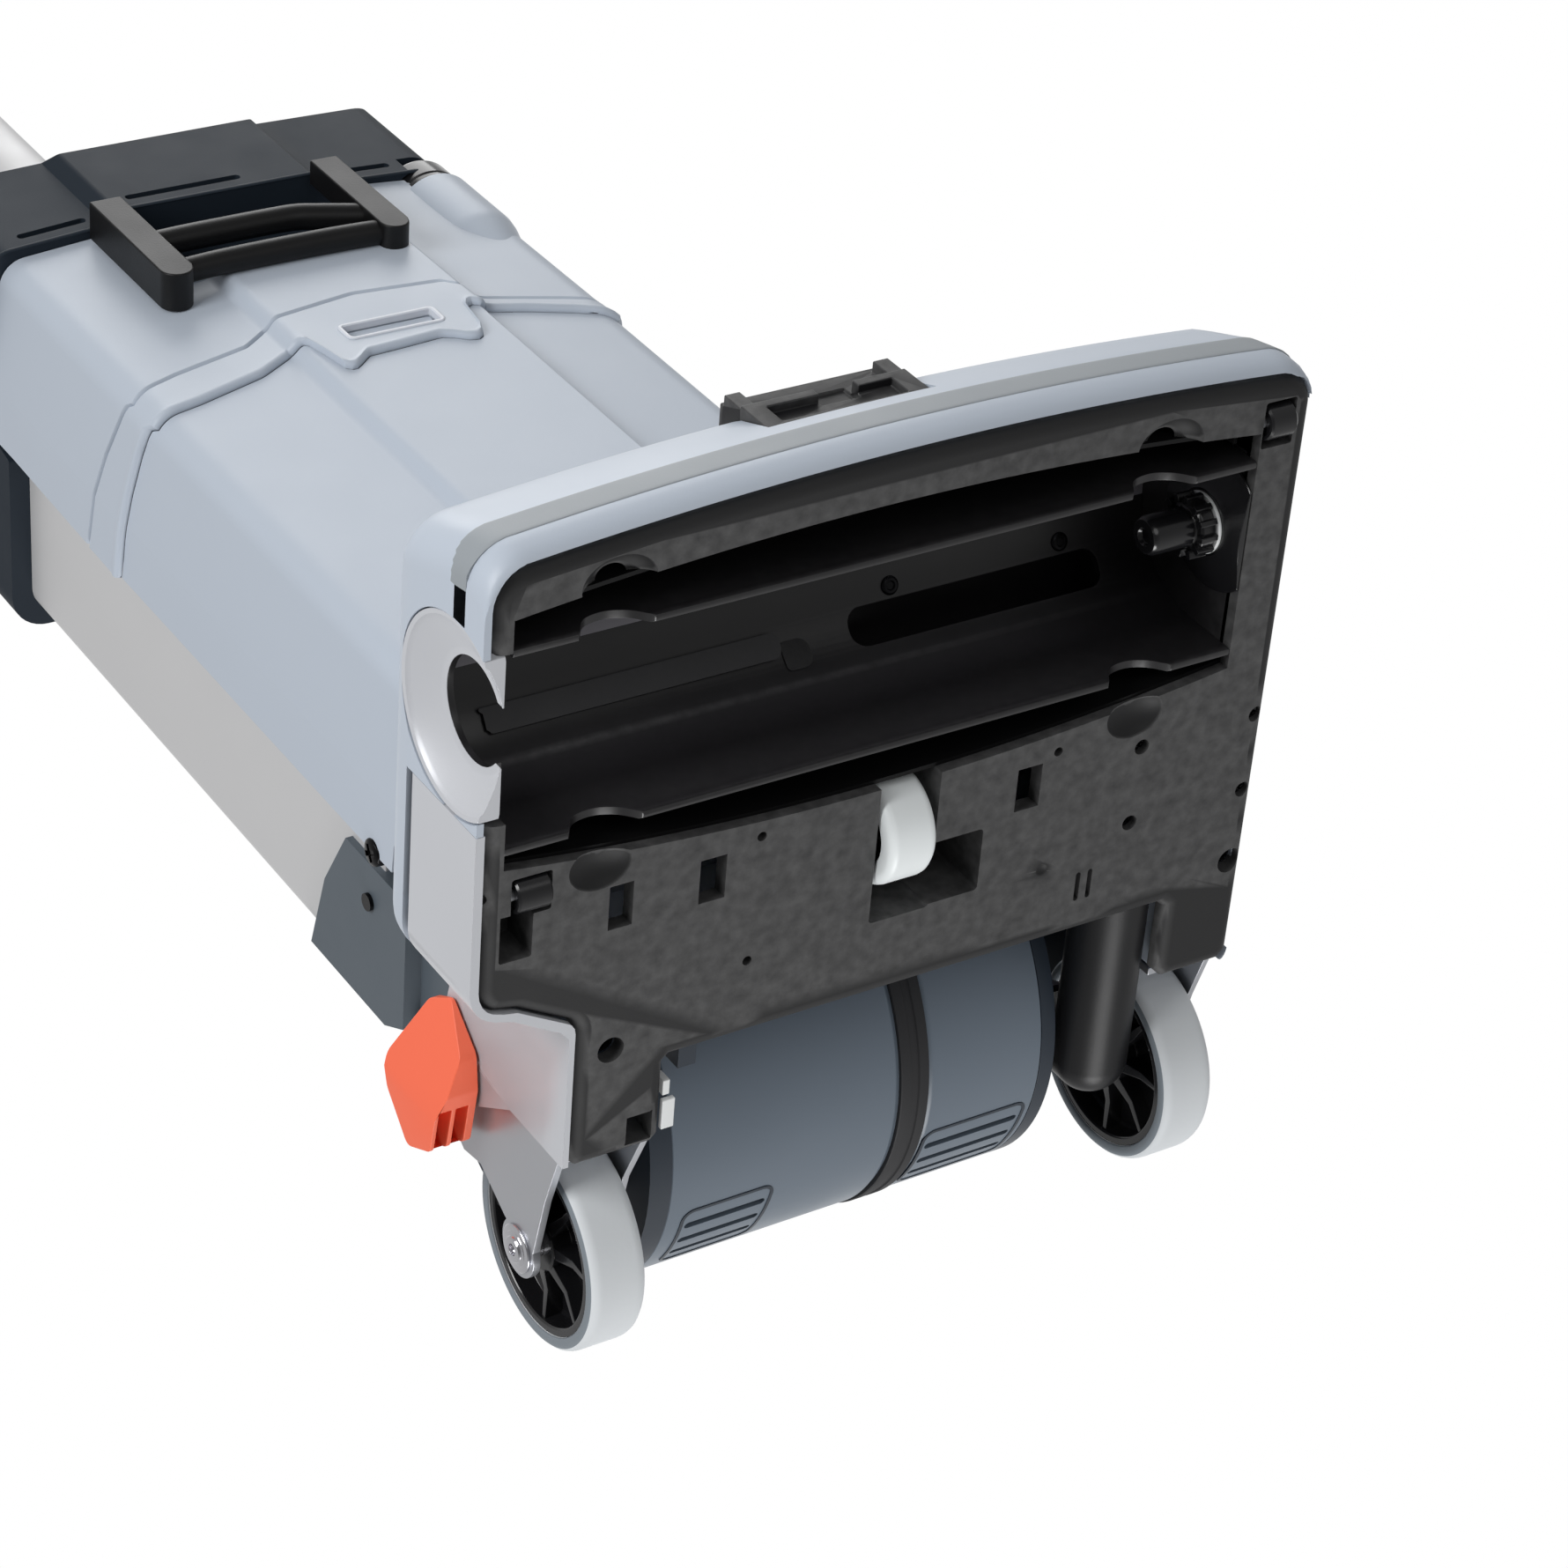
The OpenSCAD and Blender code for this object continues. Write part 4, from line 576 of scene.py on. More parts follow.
def head_cover():
    def solid(e, zs):
        bm = bmesh.new(); rows = [[(x, y, z if k < len(zs) - 0 else z) for x, y in head_outline(zz, e)] for k, (z, zz) in enumerate(zs)]
        loft(bm, rows, cu=True, cap0=True, cap1=True); return to_mesh(bm, "s")
    Z = [8, 8.6, 10, 13, 17, 20, 27, 34, 44, 54, 60, 64, 67, 70, 73, 75, 77, 78.5, 79.5, 80]
    me = solid(0, [(z, z) for z in Z]); me.materials.append(M["shell"])
    leg = bmesh.new()
    rows = []
    for z in (8, 10, 20, 34, 48, 54, 58, 62):
        w = hw_at(z) if z > 8 else 157.5
        rows.append([(x, y, z) for x, y in fillet([(-w, 30, 0), (-w, -34, 3), (-130, -34, 2), (-130, 30, 0)], 4)])
    loft(leg, rows, cu=True, cap0=True, cap1=True)
    lg = to_mesh(leg, "leg"); lg.materials.append(M["shell"])
    me = cut(me, lg, op="UNION", mats=True)
    cs = []
    def c(fn):
        b = bmesh.new(); fn(b); m = to_mesh(b, "c"); m.materials.append(M["shell"]); cs.append(m)
    inner = solid(2.6, [(-1, 12)] + [(z, z) for z in (12, 20, 34, 54, 60, 66, 70, 73, 75.5, 77.3)]); inner.materials.append(M["shell"]); cs.append(inner)
    b = bmesh.new(); rows = [[(x, y, z) for x, y in ((-157.4, 40), (-157.4, -31.4), (-132.6, -31.4), (-132.6, 40))] for z in (-1, 54)] + [[(x, y, 63.1) for x, y in ((-155, 40), (-155, -31.4), (-132.6, -31.4), (-132.6, 40))]]
    loft(b, rows, cu=True, cap0=True, cap1=True); m = to_mesh(b, "c"); m.materials.append(M["shell"]); cs.append(m)
    P = offset(dens(PLATE, 7), -0.55)
    c(lambda b: prism(b, P, 6, 12.6))
    c(lambda b: prism(b, [(107, -80), (200, -80), (200, 110.4), (152, 110.4), (152, 58), (146, 42), (130, 37.5), (119, 30), (113.8, 24), (113.8, -17)], 0, 54))
    c(lambda b: box(b, 100, 200, -80, 20, 0, 100))
    c(lambda b: cyl(b, "x", 34.8, 140, 170, (BY, BZ), 96))
    c(lambda b: box(b, -30, 34, 196, 240, 44, 90))
    c(lambda b: box(b, -30, 34, 176, 240, 60, 90))
    c(lambda b: cyl(b, "x", 84, -131, 90, (MY, MZ), 128))
    c(lambda b: box(b, -200, 200, -70, 16, 62.5, 100))
    c(lambda b: prism(b, belt_loop(31), -159.5, -141, "x"))
    me = cut(me, *cs, mats=True)
    return put("cover_moulding", me, M["shell"], "base", "head_cover", bev=0.7, seg=3, bang=34, sharp=32)

def belt_loop(r, n=24):
    a = degrees_(atan2(BZ - MZ, BY - MY))
    return [(MY + r * cos(radians(t)), MZ + r * sin(radians(t))) for t in [a + 90 + 180 * k / n for k in range(n + 1)]] + [(BY + r * cos(radians(t)), BZ + r * sin(radians(t))) for t in [a - 90 + 180 * k / n for k in range(n + 1)]]
def degrees_(v): return v * 180 / pi
head_cover()

def bumper():
    path = [p for p in head_outline(27) if p[1] >= 180]
    path = [(155.0, 180.0)] + [p for p in path if p[1] > 180.5] + [(-160.0, 180.0)]
    base_d = interp(DZ, 27)
    rows = []
    N = len(path)
    off_in = lambda d: offset(path, d, closed=False)
    prof = [(1.0, 20.2), (-0.1, 20.2), (-0.35, 20.6), (-0.45, 22.0), (-0.5, 25), (-0.5, 27.5), (-0.5, 30), (-0.45, 32.4), (-0.35, 33.6), (-0.1, 34.0), (1.6, 34.0)]
    for i in range(N):
        rows.append([])
    for d, z in prof:
        dz = interp(DZ, z) - base_d
        q = off_in(d + dz)
        for i, (x, y) in enumerate(q):
            rows[i].append((max(-160.0, min(155.0, x)), min(218.9, y), z))
    bm = bmesh.new(); loft(bm, rows, cu=True, cap0=True, cap1=True)
    put("bumper_strip", bm, M["bumper"], "base", "bumper", sharp=50)
bumper()

clean("front_insert", M["black"], 1.0, 3)
clean("side_panel", M["silver"], 0.6, 2)
def brush_port():
    """Round port in the head's right end: flat ring outside, dished towards the bore."""
    bm = bmesh.new()
    lathe(bm, [(18.0, 147.2), (20.2, 147.2), (21.2, 147.6), (25.0, 149.0), (31.4, 152.6), (32.6, 154.2), (34.2, 154.6), (34.4, 153.8), (34.4, 147.2), (33.0, 146.9), (18.0, 146.9)], "x", (BY, BZ), 128, closed=True)
    me = to_mesh(bm, "port"); me.materials.append(M["silver"])
    cs = []
    for f in (lambda b: box(b, 140, 170, BY - 40, BY + 40, -20, 8.1), lambda b: box(b, 140, 170, BY - 11, BY + 11, 0, BZ)):
        b = bmesh.new(); f(b); m = to_mesh(b); m.materials.append(M["silver"]); cs.append(m)
    me = cut(me, *cs, mats=True)
    put("port_ring", me, M["silver"], "base", "brush_port", bev=0.3, seg=2, bang=40, sharp=34)
brush_port()
clean("bracket_right", M["steel"], 0.7, 2)
clean("bracket_left", M["steel"], 0.7, 2)
clean("corner_axles", M["steel"], 0.2, 1)
clean("cable_clip", M["white"], 0.3, 2)
clean("belt_guard", M["navy"], 1.2, 3)
clean("motor_rotor", M["steel"], 0.4, 1)
clean("suction_duct", M["black"], 0.5, 2)

def hexnut(b, x0, x1, y, z, r, inner=0):
    prism(b, [(y + r * cos(radians(60 * k + 12)), z + r * sin(radians(60 * k + 12))) for k in range(6)], x0, x1, "x")

# axles with washer and nut
AYm, WR = -91.0, 40.0
bm = bmesh.new()
lathe(bm, [(0, 79), (5, 79), (5, 113.5), (8.6, 113.6), (9.0, 113.9), (9.0, 114.4), (8.6, 114.7), (6.6, 114.8), (6.6, 115.0), (5, 115.1), (4.6, 116), (2.2, 116), (2.0, 114.6), (0, 114.4)], "x", (AYm, WR), 56)
put("axle_right_v", bm, M["chrome"], "base", "axle_right", bev=0.1, seg=1)
bm = bmesh.new()
lathe(bm, [(0, -159.8), (4.4, -159.8), (5, -159.2), (5, -131.8), (7.6, -131.6), (8, -131.2), (8, -129.4), (7.6, -129), (0, -129)], "x", (AYm, WR), 48)
put("axle_left_v", bm, M["chrome"], "base", "axle_left")

# base screws: crosshead screws down in their holes
def cross_screw(b, c, n, r, h=1.6, turn=20):
    """Pan head screw at c, its head pointing along n."""
    b2 = bmesh.new()
    lathe(b2, [(0, -3), (r, -3), (r, 0), (r * 0.94, h * 0.55), (r * 0.7, h * 0.9), (0, h)], "z", (0, 0), 36)
    m = to_mesh(b2, "sc")
    k = bmesh.new(); w = r * 0.17; l = r * 0.62
    box(k, -l, l, -w, w, h * 0.25, h * 2); m = cut(m, to_mesh(k))
    k = bmesh.new(); box(k, -w, w, -l, l, h * 0.25, h * 2); m = cut(m, to_mesh(k))
    q = Vector((0, 0, 1)).rotation_difference(Vector(n).normalized()).to_matrix().to_4x4()
    m.transform(Matrix.Translation(c) @ q @ Matrix.Rotation(radians(turn), 4, "Z"))
    b.from_mesh(m); bpy.data.meshes.remove(m)
bm = bmesh.new()
for i, (x, y) in enumerate([(-106, 72), (-105, 41), (-155, 72), (-154, 41)]):
    cross_screw(bm, (x, y, 11.4), (0, 0, -1), 2.8, 1.4, 17 + 31 * i)
for i, (x, y) in enumerate([(-153, 11), (101, 11)]):
    cross_screw(bm, (x, y, 14.5), (0, 0, -1), 4.2, 1.8, 40 + 31 * i)
put("base_screws_v", bm, M["screw"], "base", "base_screws", bev=0.1, seg=1)

# ------------------------------------------------------------------ wheels and rollers
def wheel(xc, side, body):
    w = 11.0
    prof = [(34.5, xc - w + 0.8), (35.2, xc - w + 0.2), (37, xc - w), (38.4, xc - w + 0.5), (39.4, xc - w + 1.5), (39.9, xc - w + 2.9), (40, xc - w + 4.2),
            (40, xc - 3), (40, xc + 3), (40, xc + w - 4.2), (39.9, xc + w - 2.9), (39.4, xc + w - 1.5), (38.4, xc + w - 0.5), (37, xc + w), (35.2, xc + w - 0.2), (34.5, xc + w - 0.8)]
    bm = bmesh.new(); lathe(bm, prof, "x", (AYm, WR), 144, closed=True)
    me = to_mesh(bm, "tyre")
    o = put("tyre_" + side + "_v", me, [M["tyre"], M["tyre_side"]], body, "tyre_" + side, sharp=50)
    for p in o.data.polygons:
        if abs(p.normal.x) > 0.75: p.material_index = 1
    # hub: rim, web and wedge ribs
    bm = bmesh.new()
    s = w - 1.0
    lathe(bm, [(5.05, xc - s), (10.2, xc - s), (10.8, xc - s + 0.6), (10.9, xc - 2.2), (12.5, xc - 1.5), (29.6, xc - 1.5), (30.9, xc - 2.4), (31.3, xc - s + 0.6), (31.8, xc - s), (34.4, xc - s), (34.45, xc - s + 0.5),
               (34.45, xc + s - 0.5), (34.4, xc + s), (31.8, xc + s), (31.3, xc + s - 0.6), (30.9, xc + 2.4), (29.6, xc + 1.5), (12.5, xc + 1.5), (10.9, xc + 2.2), (10.8, xc + s - 0.6), (10.2, xc + s), (5.05, xc + s)], "x", (AYm, WR), 96, closed=True)
    for i in range(8):
        b2 = bmesh.new()
        rows = []
        for r, t, dx in ((10.2, 2.3, s - 0.8), (20, 1.5, s - 2.6), (31.6, 1.0, s - 1.2)):
            rows.append([(xc + dx, -t, r), (xc - dx, -t, r), (xc - dx, t, r), (xc + dx, t, r)])
        loft(b2, rows, cu=True, cap0=True, cap1=True)
        b2.transform(Matrix.Translation((0, AYm, WR)) @ Matrix.Rotation(radians(45 * i + 9), 4, "X"))
        merge(bm, b2)
    put("hub_" + side + "_v", bm, M["gloss"], body, "hub_" + side, bev=0.3, seg=2, bang=50, sharp=32)
wheel(96, "right", "wheel_right"); wheel(-144.5, "left", "wheel_left")

bm = bmesh.new()
lathe(bm, [(12.0, -16.6), (13.2, -17.8), (16.8, -18.0), (18.6, -17.4), (19.7, -16.0), (20, -14.6), (20, -8.5), (20, -2.4), (19.7, -1.0), (18.6, 0.4), (16.8, 1.0), (13.2, 0.8), (12.0, -0.4)], "x", (62, 20), 96, closed=True)
put("roller_tread", bm, M["roller"], "centre_roller", "centre_roller", sharp=50)
bm = bmesh.new()
lathe(bm, [(0, -24.5), (3, -24.5), (3, -14.6), (6, -14.2), (6.4, -13), (11.9, -12.6), (12.1, -12), (12.1, -5), (11.9, -4.4), (6.4, -4), (6, -2.8), (3, -2.4), (3, 4.3), (0, 4.3)], "x", (62, 20), 64)
for i in range(6):
    b2 = bmesh.new(); box(b2, -16.4, -0.6, -0.7, 0.7, 5.6, 12.05)
    b2.transform(Matrix.Translation((0, 62, 20)) @ Matrix.Rotation(radians(60 * i + 10), 4, "X")); merge(bm, b2)
put("roller_hub", bm, M["black"], "centre_roller", bev=0.2, seg=2)
for nm, x0, x1, y in (("corner_roller_rear", 127.8, 140.2, 83), ("corner_roller_front", -151.2, -140.4, 189.5)):
    bm = bmesh.new()
    lathe(bm, [(2.26, x0 + 0.6), (4.6, x0 + 0.6), (5.0, x0), (6.0, x0), (6.6, x0 + 0.7), (6.6, x1 - 0.7), (6.0, x1), (5.0, x1), (4.6, x1 - 0.6), (2.26, x1 - 0.6)], "x", (y, 11), 56, closed=True)
    put(nm + "_v", bm, M["gloss"], nm, nm, sharp=40)

# ------------------------------------------------------------------ motor
bm = bmesh.new()
R = 80.0
lathe(bm, [(9.2, -93), (R - 4, -93), (R, -92.6), (R, -84), (R, -46.4), (R - 0.6, -45.2), (R - 1.2, -44.2), (R - 1.2, -31.8), (R - 0.6, -30.8), (R, -29.6), (R, 0), (R, 56), (R, 61.6), (R - 0.4, 62), (R - 3, 62), (R - 3, -90), (9.2, -90)], "x", (MY, MZ), 192, closed=True)
me = to_mesh(bm, "motor"); me.materials.append(M["motor"]); me.materials.append(M["navy_dark"])
cs = []
for x0, x1 in ((-88, -48), (20, 53)):
    for a in (238, 245, 252):
        b = bmesh.new(); prism(b, fillet([(x0, -1.7, 1.6), (x1, -1.7, 1.6), (x1, 1.7, 1.6), (x0, 1.7, 1.6)], 5), 74, 86)
        # radial direction is the prism's height: turn it to point outwards
        b.transform(Matrix.Translation((0, MY, MZ)) @ Matrix.Rotation(radians(a), 4, "X") @ Matrix(((1, 0, 0, 0), (0, 0, 1, 0), (0, 1, 0, 0), (0, 0, 0, 1))))
        bmesh.ops.recalc_face_normals(b, faces=b.faces)
        m = to_mesh(b); m.materials.append(M["navy_dark"]); cs.append(m)
me = cut(me, *cs, mats=True)
put("motor_casing", me, [M["motor"], M["navy_dark"]], "base", "motor_housing", bev=0.3, seg=2, sharp=30)
# thin frames round the vent groups
for x0, x1 in ((-90.5, -45.5), (17.5, 55.5)):
    bm = bmesh.new()
    rim = fillet([(x0, 231.5, 0), (x0, 258.5, 0), (x1, 258.5, 0), (x1, 231.5, 0)], 1)
    k = R * pi / 180
    outer = dens(fillet([(x0, 231.5 * k, 5), (x1, 231.5 * k, 5), (x1, 258.5 * k, 5), (x0, 258.5 * k, 5)], 6), 4)
    inner = offset(outer, 1.3)
    rows = []
    for pts, r in ((outer, R - 0.3), (outer, R + 0.35), (inner, R + 0.35), (inner, R - 0.3)):
        rows.append([(x, MY + r * cos(s / k * pi / 180), MZ + r * sin(s / k * pi / 180)) for x, s in pts])
    loft(bm, rows, cu=True, cv=True)
    put("vent_frame_%d" % (1 if x0 < 0 else 2), bm, M["navy_dark"], "base", sharp=40)
bm = bmesh.new()
lathe(bm, [(R - 1.2, -43.9), (R + 0.4, -43.9), (R + 0.75, -43.4), (R + 0.75, -39.8), (R + 0.2, -39.4), (R + 0.2, -36.6), (R + 0.75, -36.2), (R + 0.75, -32.6), (R + 0.4, -32.1), (R - 1.2, -32.1)], "x", (MY, MZ), 192, closed=True)
o = put("motor_band_v", bm, [M["rubber"], M["patch"]], "base", "motor_band", sharp=40)
clean("motor_flange_right", M["navy_dark"], 1.6, 3)
clean("motor_flange_left", M["navy_dark"], 1.2, 3)
clean("shaft_sleeve", M["dark"], 0.5, 2)
clean("drive_belt", M["rubber"], 0.3, 1)

# ------------------------------------------------------------------ pedal
def pedal():
    me = NODES["pedal"].data
    bm = bmesh.new()
    prof = fillet([(-11, 83, 3), (-17, 94, 5), (-43, 104, 7), (-55, 100, 7), (-70, 84, 4), (-62, 68, 4), (-38, 64, 6), (-24, 66, 5)], 5)
    prism(bm, prof, 118, 134, "x")
    cyl(bm, "x", 8, 117.6, 120.5, (-30, 74), 48, 0.5)
    m = to_mesh(bm, "pedal"); m.materials.append(M["orange"])
    cs = []
    for x in (121, 127.5):
        b = bmesh.new(); prism(b, fillet([(-44, 60, 0), (-44, 72, 2), (-58, 88, 2), (-67, 82, 1), (-60, 60, 0)], 4), x, x + 4.8, "x"); c = to_mesh(b); c.materials.append(M["orange"]); cs.append(c)
    b = bmesh.new(); box(b, 0, 40, 0, 60, 0, 70); b.transform(Matrix.Translation((134.2, -48, 50)) @ Matrix.Rotation(radians(22), 4, "Z")); c = to_mesh(b); c.materials.append(M["orange"]); cs.append(c)
    m = cut(m, *cs, mats=True)
    put("pedal_v", m, M["orange"], "pedal", "pedal", bev=1.1, seg=3, bang=34)
    b = bmesh.new(); cyl(b, "x", 4.3, 112.2, 118.2, (-30, 74), 32, 0.3)
    put("pedal_pin", b, M["steel"], "pedal")
pedal()

# ------------------------------------------------------------------ body
def side_tab(tab): return lambda y: interp(tab, y)
BODY = fillet([(97.5, -18, 0), (96, 6, 8), (89.5, 57.6, 12), (24, 63.2, 5), (19.5, 68, 5), (-60.5, 68, 1.2), (-64.5, 62.8, 1.5), (-120, 57.8, 12), (-121, 6, 8), (-122, -18, 0)], 8, closed=False)
def dens_open(pts, step):
    out = []
    for a, b in zip(pts, pts[1:]):
        n = max(1, int(round(math.hypot(b[0] - a[0], b[1] - a[1]) / step)))
        out += [(a[0] + (b[0] - a[0]) * k / n, a[1] + (b[1] - a[1]) * k / n) for k in range(n)]
    return out + [pts[-1]]
ST = dens_open(BODY, 2.2)
SIDE_T = [(-18, 396), (0, 395.2), (20, 392.6), (39, 388.3), (57, 382.3)]     # one distance from the door's hinge, so the door can tilt
FRONT_T = sorted([(89, 380.5), (69, 383), (40, 389), (32, 393), (24, 397), (19, 396.5), (17, 394), (15.4, 388), (14.4, 377), (12.5, 371), (9, 370), (5, 373), (0, 377.5), (-16, 378.5), (-33, 380), (-38, 377.5), (-42, 374), (-46, 372.5), (-50, 375), (-52, 383), (-53.2, 395), (-55, 399), (-58, 400), (-60.5, 398), (-64, 402), (-68, 400), (-82, 397), (-101, 391), (-118, 384)])
SIDE_G = [(-18, 424), (6, 421), (26, 415), (57, 401.5)]
FRONT_G = sorted([(89, 401), (69, 406), (36, 411), (25, 418), (-17, 425), (-55, 421), (-59, 417), (-69, 410), (-101, 402), (-118, 397)])
def by_station(side, front, p):
    x, y = p
    if x > 88.5 or x < -117.5:
        v = interp(side, y)
        return v + (3.5 if x < 0 and y > 40 else 0)
    return interp(front, x)
def zt(p): return by_station(SIDE_T, FRONT_T, p)
def zg(p): return by_station(SIDE_G, FRONT_G, p)
DOOR_B = [(-18, 168), (-6, 168), (40, 112), (50, 108)]
def zb(p): return interp(DOOR_B, p[1]) if abs(p[0] + 12) > 100 else 108.0

def wall(rows_fn, name, mat, body, reps, cutters=(), bev=0.5, t=2.6, stations=None, mats=None):
    S = stations or ST
    offs = {}
    rows = []
    cols = [rows_fn(p) for p in S]          # each: list of (out, z)
    n = len(cols[0])
    for j in range(n):
        pass
    O = {}
    def off(i, d):
        key = round(d, 2)
        if key not in O: O[key] = offset(S, -d, closed=False) if False else offset(S, d, closed=False)
        return O[key][i]
    bm = bmesh.new()
    R = []
    for i in range(len(S)):
        r = []
        for d, z in cols[i]:
            x, y = off(i, d); r.append((x, y, z))
        R.append(r)
    loft(bm, R, cu=True, cap0=True, cap1=True)
    me = to_mesh(bm, name); me.materials.append(M[mat])
    if cutters:
        cs = []
        for fn in cutters:
            b = bmesh.new(); fn(b); m = to_mesh(b); m.materials.append(M[mat]); cs.append(m)
        me = cut(me, *cs, mats=True, self_=True)
    return put(name, me, M[mat], body, reps, bev=bev, seg=2, bang=40, sharp=36)
# walls are drawn from the rear right corner round the front: inside is to the left of the path
def door_rows(p):
    b = zb(p); t = zt(p) - 0.6
    return [(0, b), (0, b + 1), (0, t - 8), (0, t), (2.6, t), (2.6, t - 8), (2.6, b + 1), (2.6, b)]
wall(door_rows, "door_moulding", "shell", "bag_door", "bag_door")
# floor of the door, its lower front edge turned inwards
bm = bmesh.new()
pl = [p for p in ST if p[1] > 40]
fl = [(p[0], p[1]) for p in offset(ST, 2.0, closed=False)]
sel = [q for p, q in zip(ST, fl) if p[1] > 34]
prism(bm, sel, 108.3, 110.9)
put("door_floor", bm, M["shell"], "bag_door", bev=0.6, seg=2)
# helper for hinge ears of the door behind its side edges; it is not called, so no ears are built
def ear(x0, x1, name):
    bm = bmesh.new()
    prism(bm, fillet([(-18, 168.2, 4), (-4, 168.2, 3), (-4, 206, 6), (-18, 206, 0)], 5), x0, x1, "x")
    put(name, bm, M["shell"], "bag_door", bev=0.5)
def shell_rows(p):
    t = zt(p); g = zg(p); 
    return [(0.2, t), (-1.2, t + 0.1), (-2.3, t + 0.8), (-2.8, t + 2.0), (-2.6, t + 3.4), (-2.1, t + 5), (-1.9, (t + g) / 2), (-1.7, g - 1.4), (-1.2, g - 0.5), (0.1, g - 0.2), (0.1, g + 1.1), (-0.8, g + 1.5), (-1.3, g + 2.2), (-1.2, g + 8), (-0.6, 470), (0, 500), (0, 526.6), (2.6, 526.6), (2.6, 470), (2.6, t + 14), (-0.2, t + 12), (-0.2, t)]
pocket = lambda b: prism(b, fillet([(-60, 472, 7), (42, 472, 7), (42, 560, 0), (-60, 560, 0)], 6), 40, 90, "y")
latch_hole = lambda b: prism(b, fillet([(-39, 390, 1.5), (1, 390, 1.5), (1, 400, 1.5), (-39, 400, 1.5)], 4), 60, 80, "y")
wall(shell_rows, "shell_moulding", "shell", "upright", "upper_shell", cutters=(pocket, latch_hole))
# hand pocket: floor, sides and back panel
bm = bmesh.new()
prism(bm, fillet([(-62.4, 469.6, 8), (44.4, 469.6, 8), (44.4, 526.6, 0), (-62.4, 526.6, 0)], 6), 42.4, 64, "y")
me = to_mesh(bm); me.materials.append(M["shell"])
b = bmesh.new(); prism(b, fillet([(-60, 472, 7), (42, 472, 7), (42, 560, 0), (-60, 560, 0)], 6), 45, 90, "y"); k = to_mesh(b); k.materials.append(M["shell"])
b = bmesh.new(); prism(b, [(p[0], p[1]) for p in offset(ST, 0.3, closed=False)] + [(-122, 120), (97, 120)], 460, 540); 
me = cut(me, k, mats=True)
put("pocket_box", me, M["shell"], "upright", bev=0.5)
bm = bmesh.new()
prism(bm, fillet([(-59.6, 472.6, 7), (41.6, 472.6, 7), (41.6, 526.4, 0), (-59.6, 526.4, 0)], 6), 44.8, 47.2, "y")
put("pocket_panel", bm, M["navy"], "upright", bev=0.8, seg=3)
# bulge under the round port at the corner
bm = bmesh.new()
lathe(bm, [(0, 450), (9.5, 451), (12.2, 455), (15.6, 466), (18.2, 475), (19, 480), (19, 517.6), (18.4, 518.6), (17, 519), (0, 519)], "z", (-104.5, 46), 72)
me = to_mesh(bm); me.materials.append(M["shell"])
b = bmesh.new(); prism(b, [(p[0], p[1]) for p in offset(ST, 1.4, closed=False)], 440, 530); k = to_mesh(b); k.materials.append(M["shell"])
me = cut(me, k, mats=True)
put("port_bulge", me, M["shell"], "upright", bev=0.5)
bm = bmesh.new()
lathe(bm, [(0, 519.2), (17.0, 519.2), (17.6, 519.8), (17.6, 522), (17.0, 522.6), (17.0, 523.4), (17.6, 524), (17.6, 534.5), (16.9, 536.4), (15.5, 537), (14.6, 537.6), (14.2, 538.8), (0, 539)], "z", (-104.5, 46), 72)
put("port_cap", bm, M["gloss"], "upright", "hose_port")
# latch: slot frame in the tab and the catch behind it
bm = bmesh.new()
outer = fillet([(-40.6, 388.4, 3), (2.6, 388.4, 3), (2.6, 401.6, 3), (-40.6, 401.6, 3)], 5)
inner = offset(outer, 1.9)
rows = []
for pts, y in ((outer, 67.6), (outer, 70.3), (offset(outer, 0.5), 70.7), (offset(outer, 1.4), 70.7), (inner, 70.2), (inner, 67.6)):
    rows.append([(x, y, z) for x, z in pts])
loft(bm, rows, cu=True, cv=True)
# the latch frame's rim gets the lighter shell copy, a painted highlight
put("latch_frame", bm, M["shell_painted_highlight"], "upright", sharp=30)
bm = bmesh.new()
prism(bm, fillet([(-38, 391, 2), (0, 391, 2), (0, 394.6, 1), (-38, 394.6, 1)], 4), 63.2, 66.2, "y")
prism(bm, fillet([(-38, 395.2, 1), (0, 395.2, 1), (0, 399, 2), (-38, 399, 2)], 4), 63.2, 67.6, "y")
put("latch_catch", bm, M["shell"], "door_latch", "door_latch", bev=0.5)

# carry handle
def handle():
    bm = bmesh.new()
    def arm(x0, x1, y0, y1, z0, z1):
        r = (x1 - x0) / 2
        pts = [(x0, z1), (x0, z0 + r)] + [((x0 + x1) / 2 + r * cos(radians(a)), z0 + r + r * sin(radians(a))) for a in range(180, 361, 12)] + [(x1, z1)]
        pts = pts[::-1]
        b2 = bmesh.new(); prism(b2, pts, y0, y1, "y"); return b2
    merge(bm, arm(38, 52, 62.6, 79.2, 450, 524)); merge(bm, arm(-60.2, -47.8, 68.2, 79.2, 453.8, 524))
    me = to_mesh(bm, "handle")
    put("handle_arms", me, M["handle"], "upright", "carry_handle", bev=4.2, seg=6, bang=50, sharp=60)
    bm = bmesh.new(); tube(bm, spline([(46, 72.8, 463), (25, 73.5, 463.8), (0, 73.6, 464.2), (-28, 73.5, 464), (-53, 73, 463.4)], 6), 5.2, 28)
    put("handle_lower", bm, M["handle"], "upright")
    bm = bmesh.new(); tube(bm, spline([(45, 72.6, 489.6), (28, 73, 490), (8, 73, 490.2), (-12, 73, 490.1), (-24, 73, 489.4), (-33, 73, 486.2), (-43, 73, 482), (-52, 73, 478.4)], 7), 5.5, 28)
    put("handle_grip", bm, M["handle"], "upright")
handle()

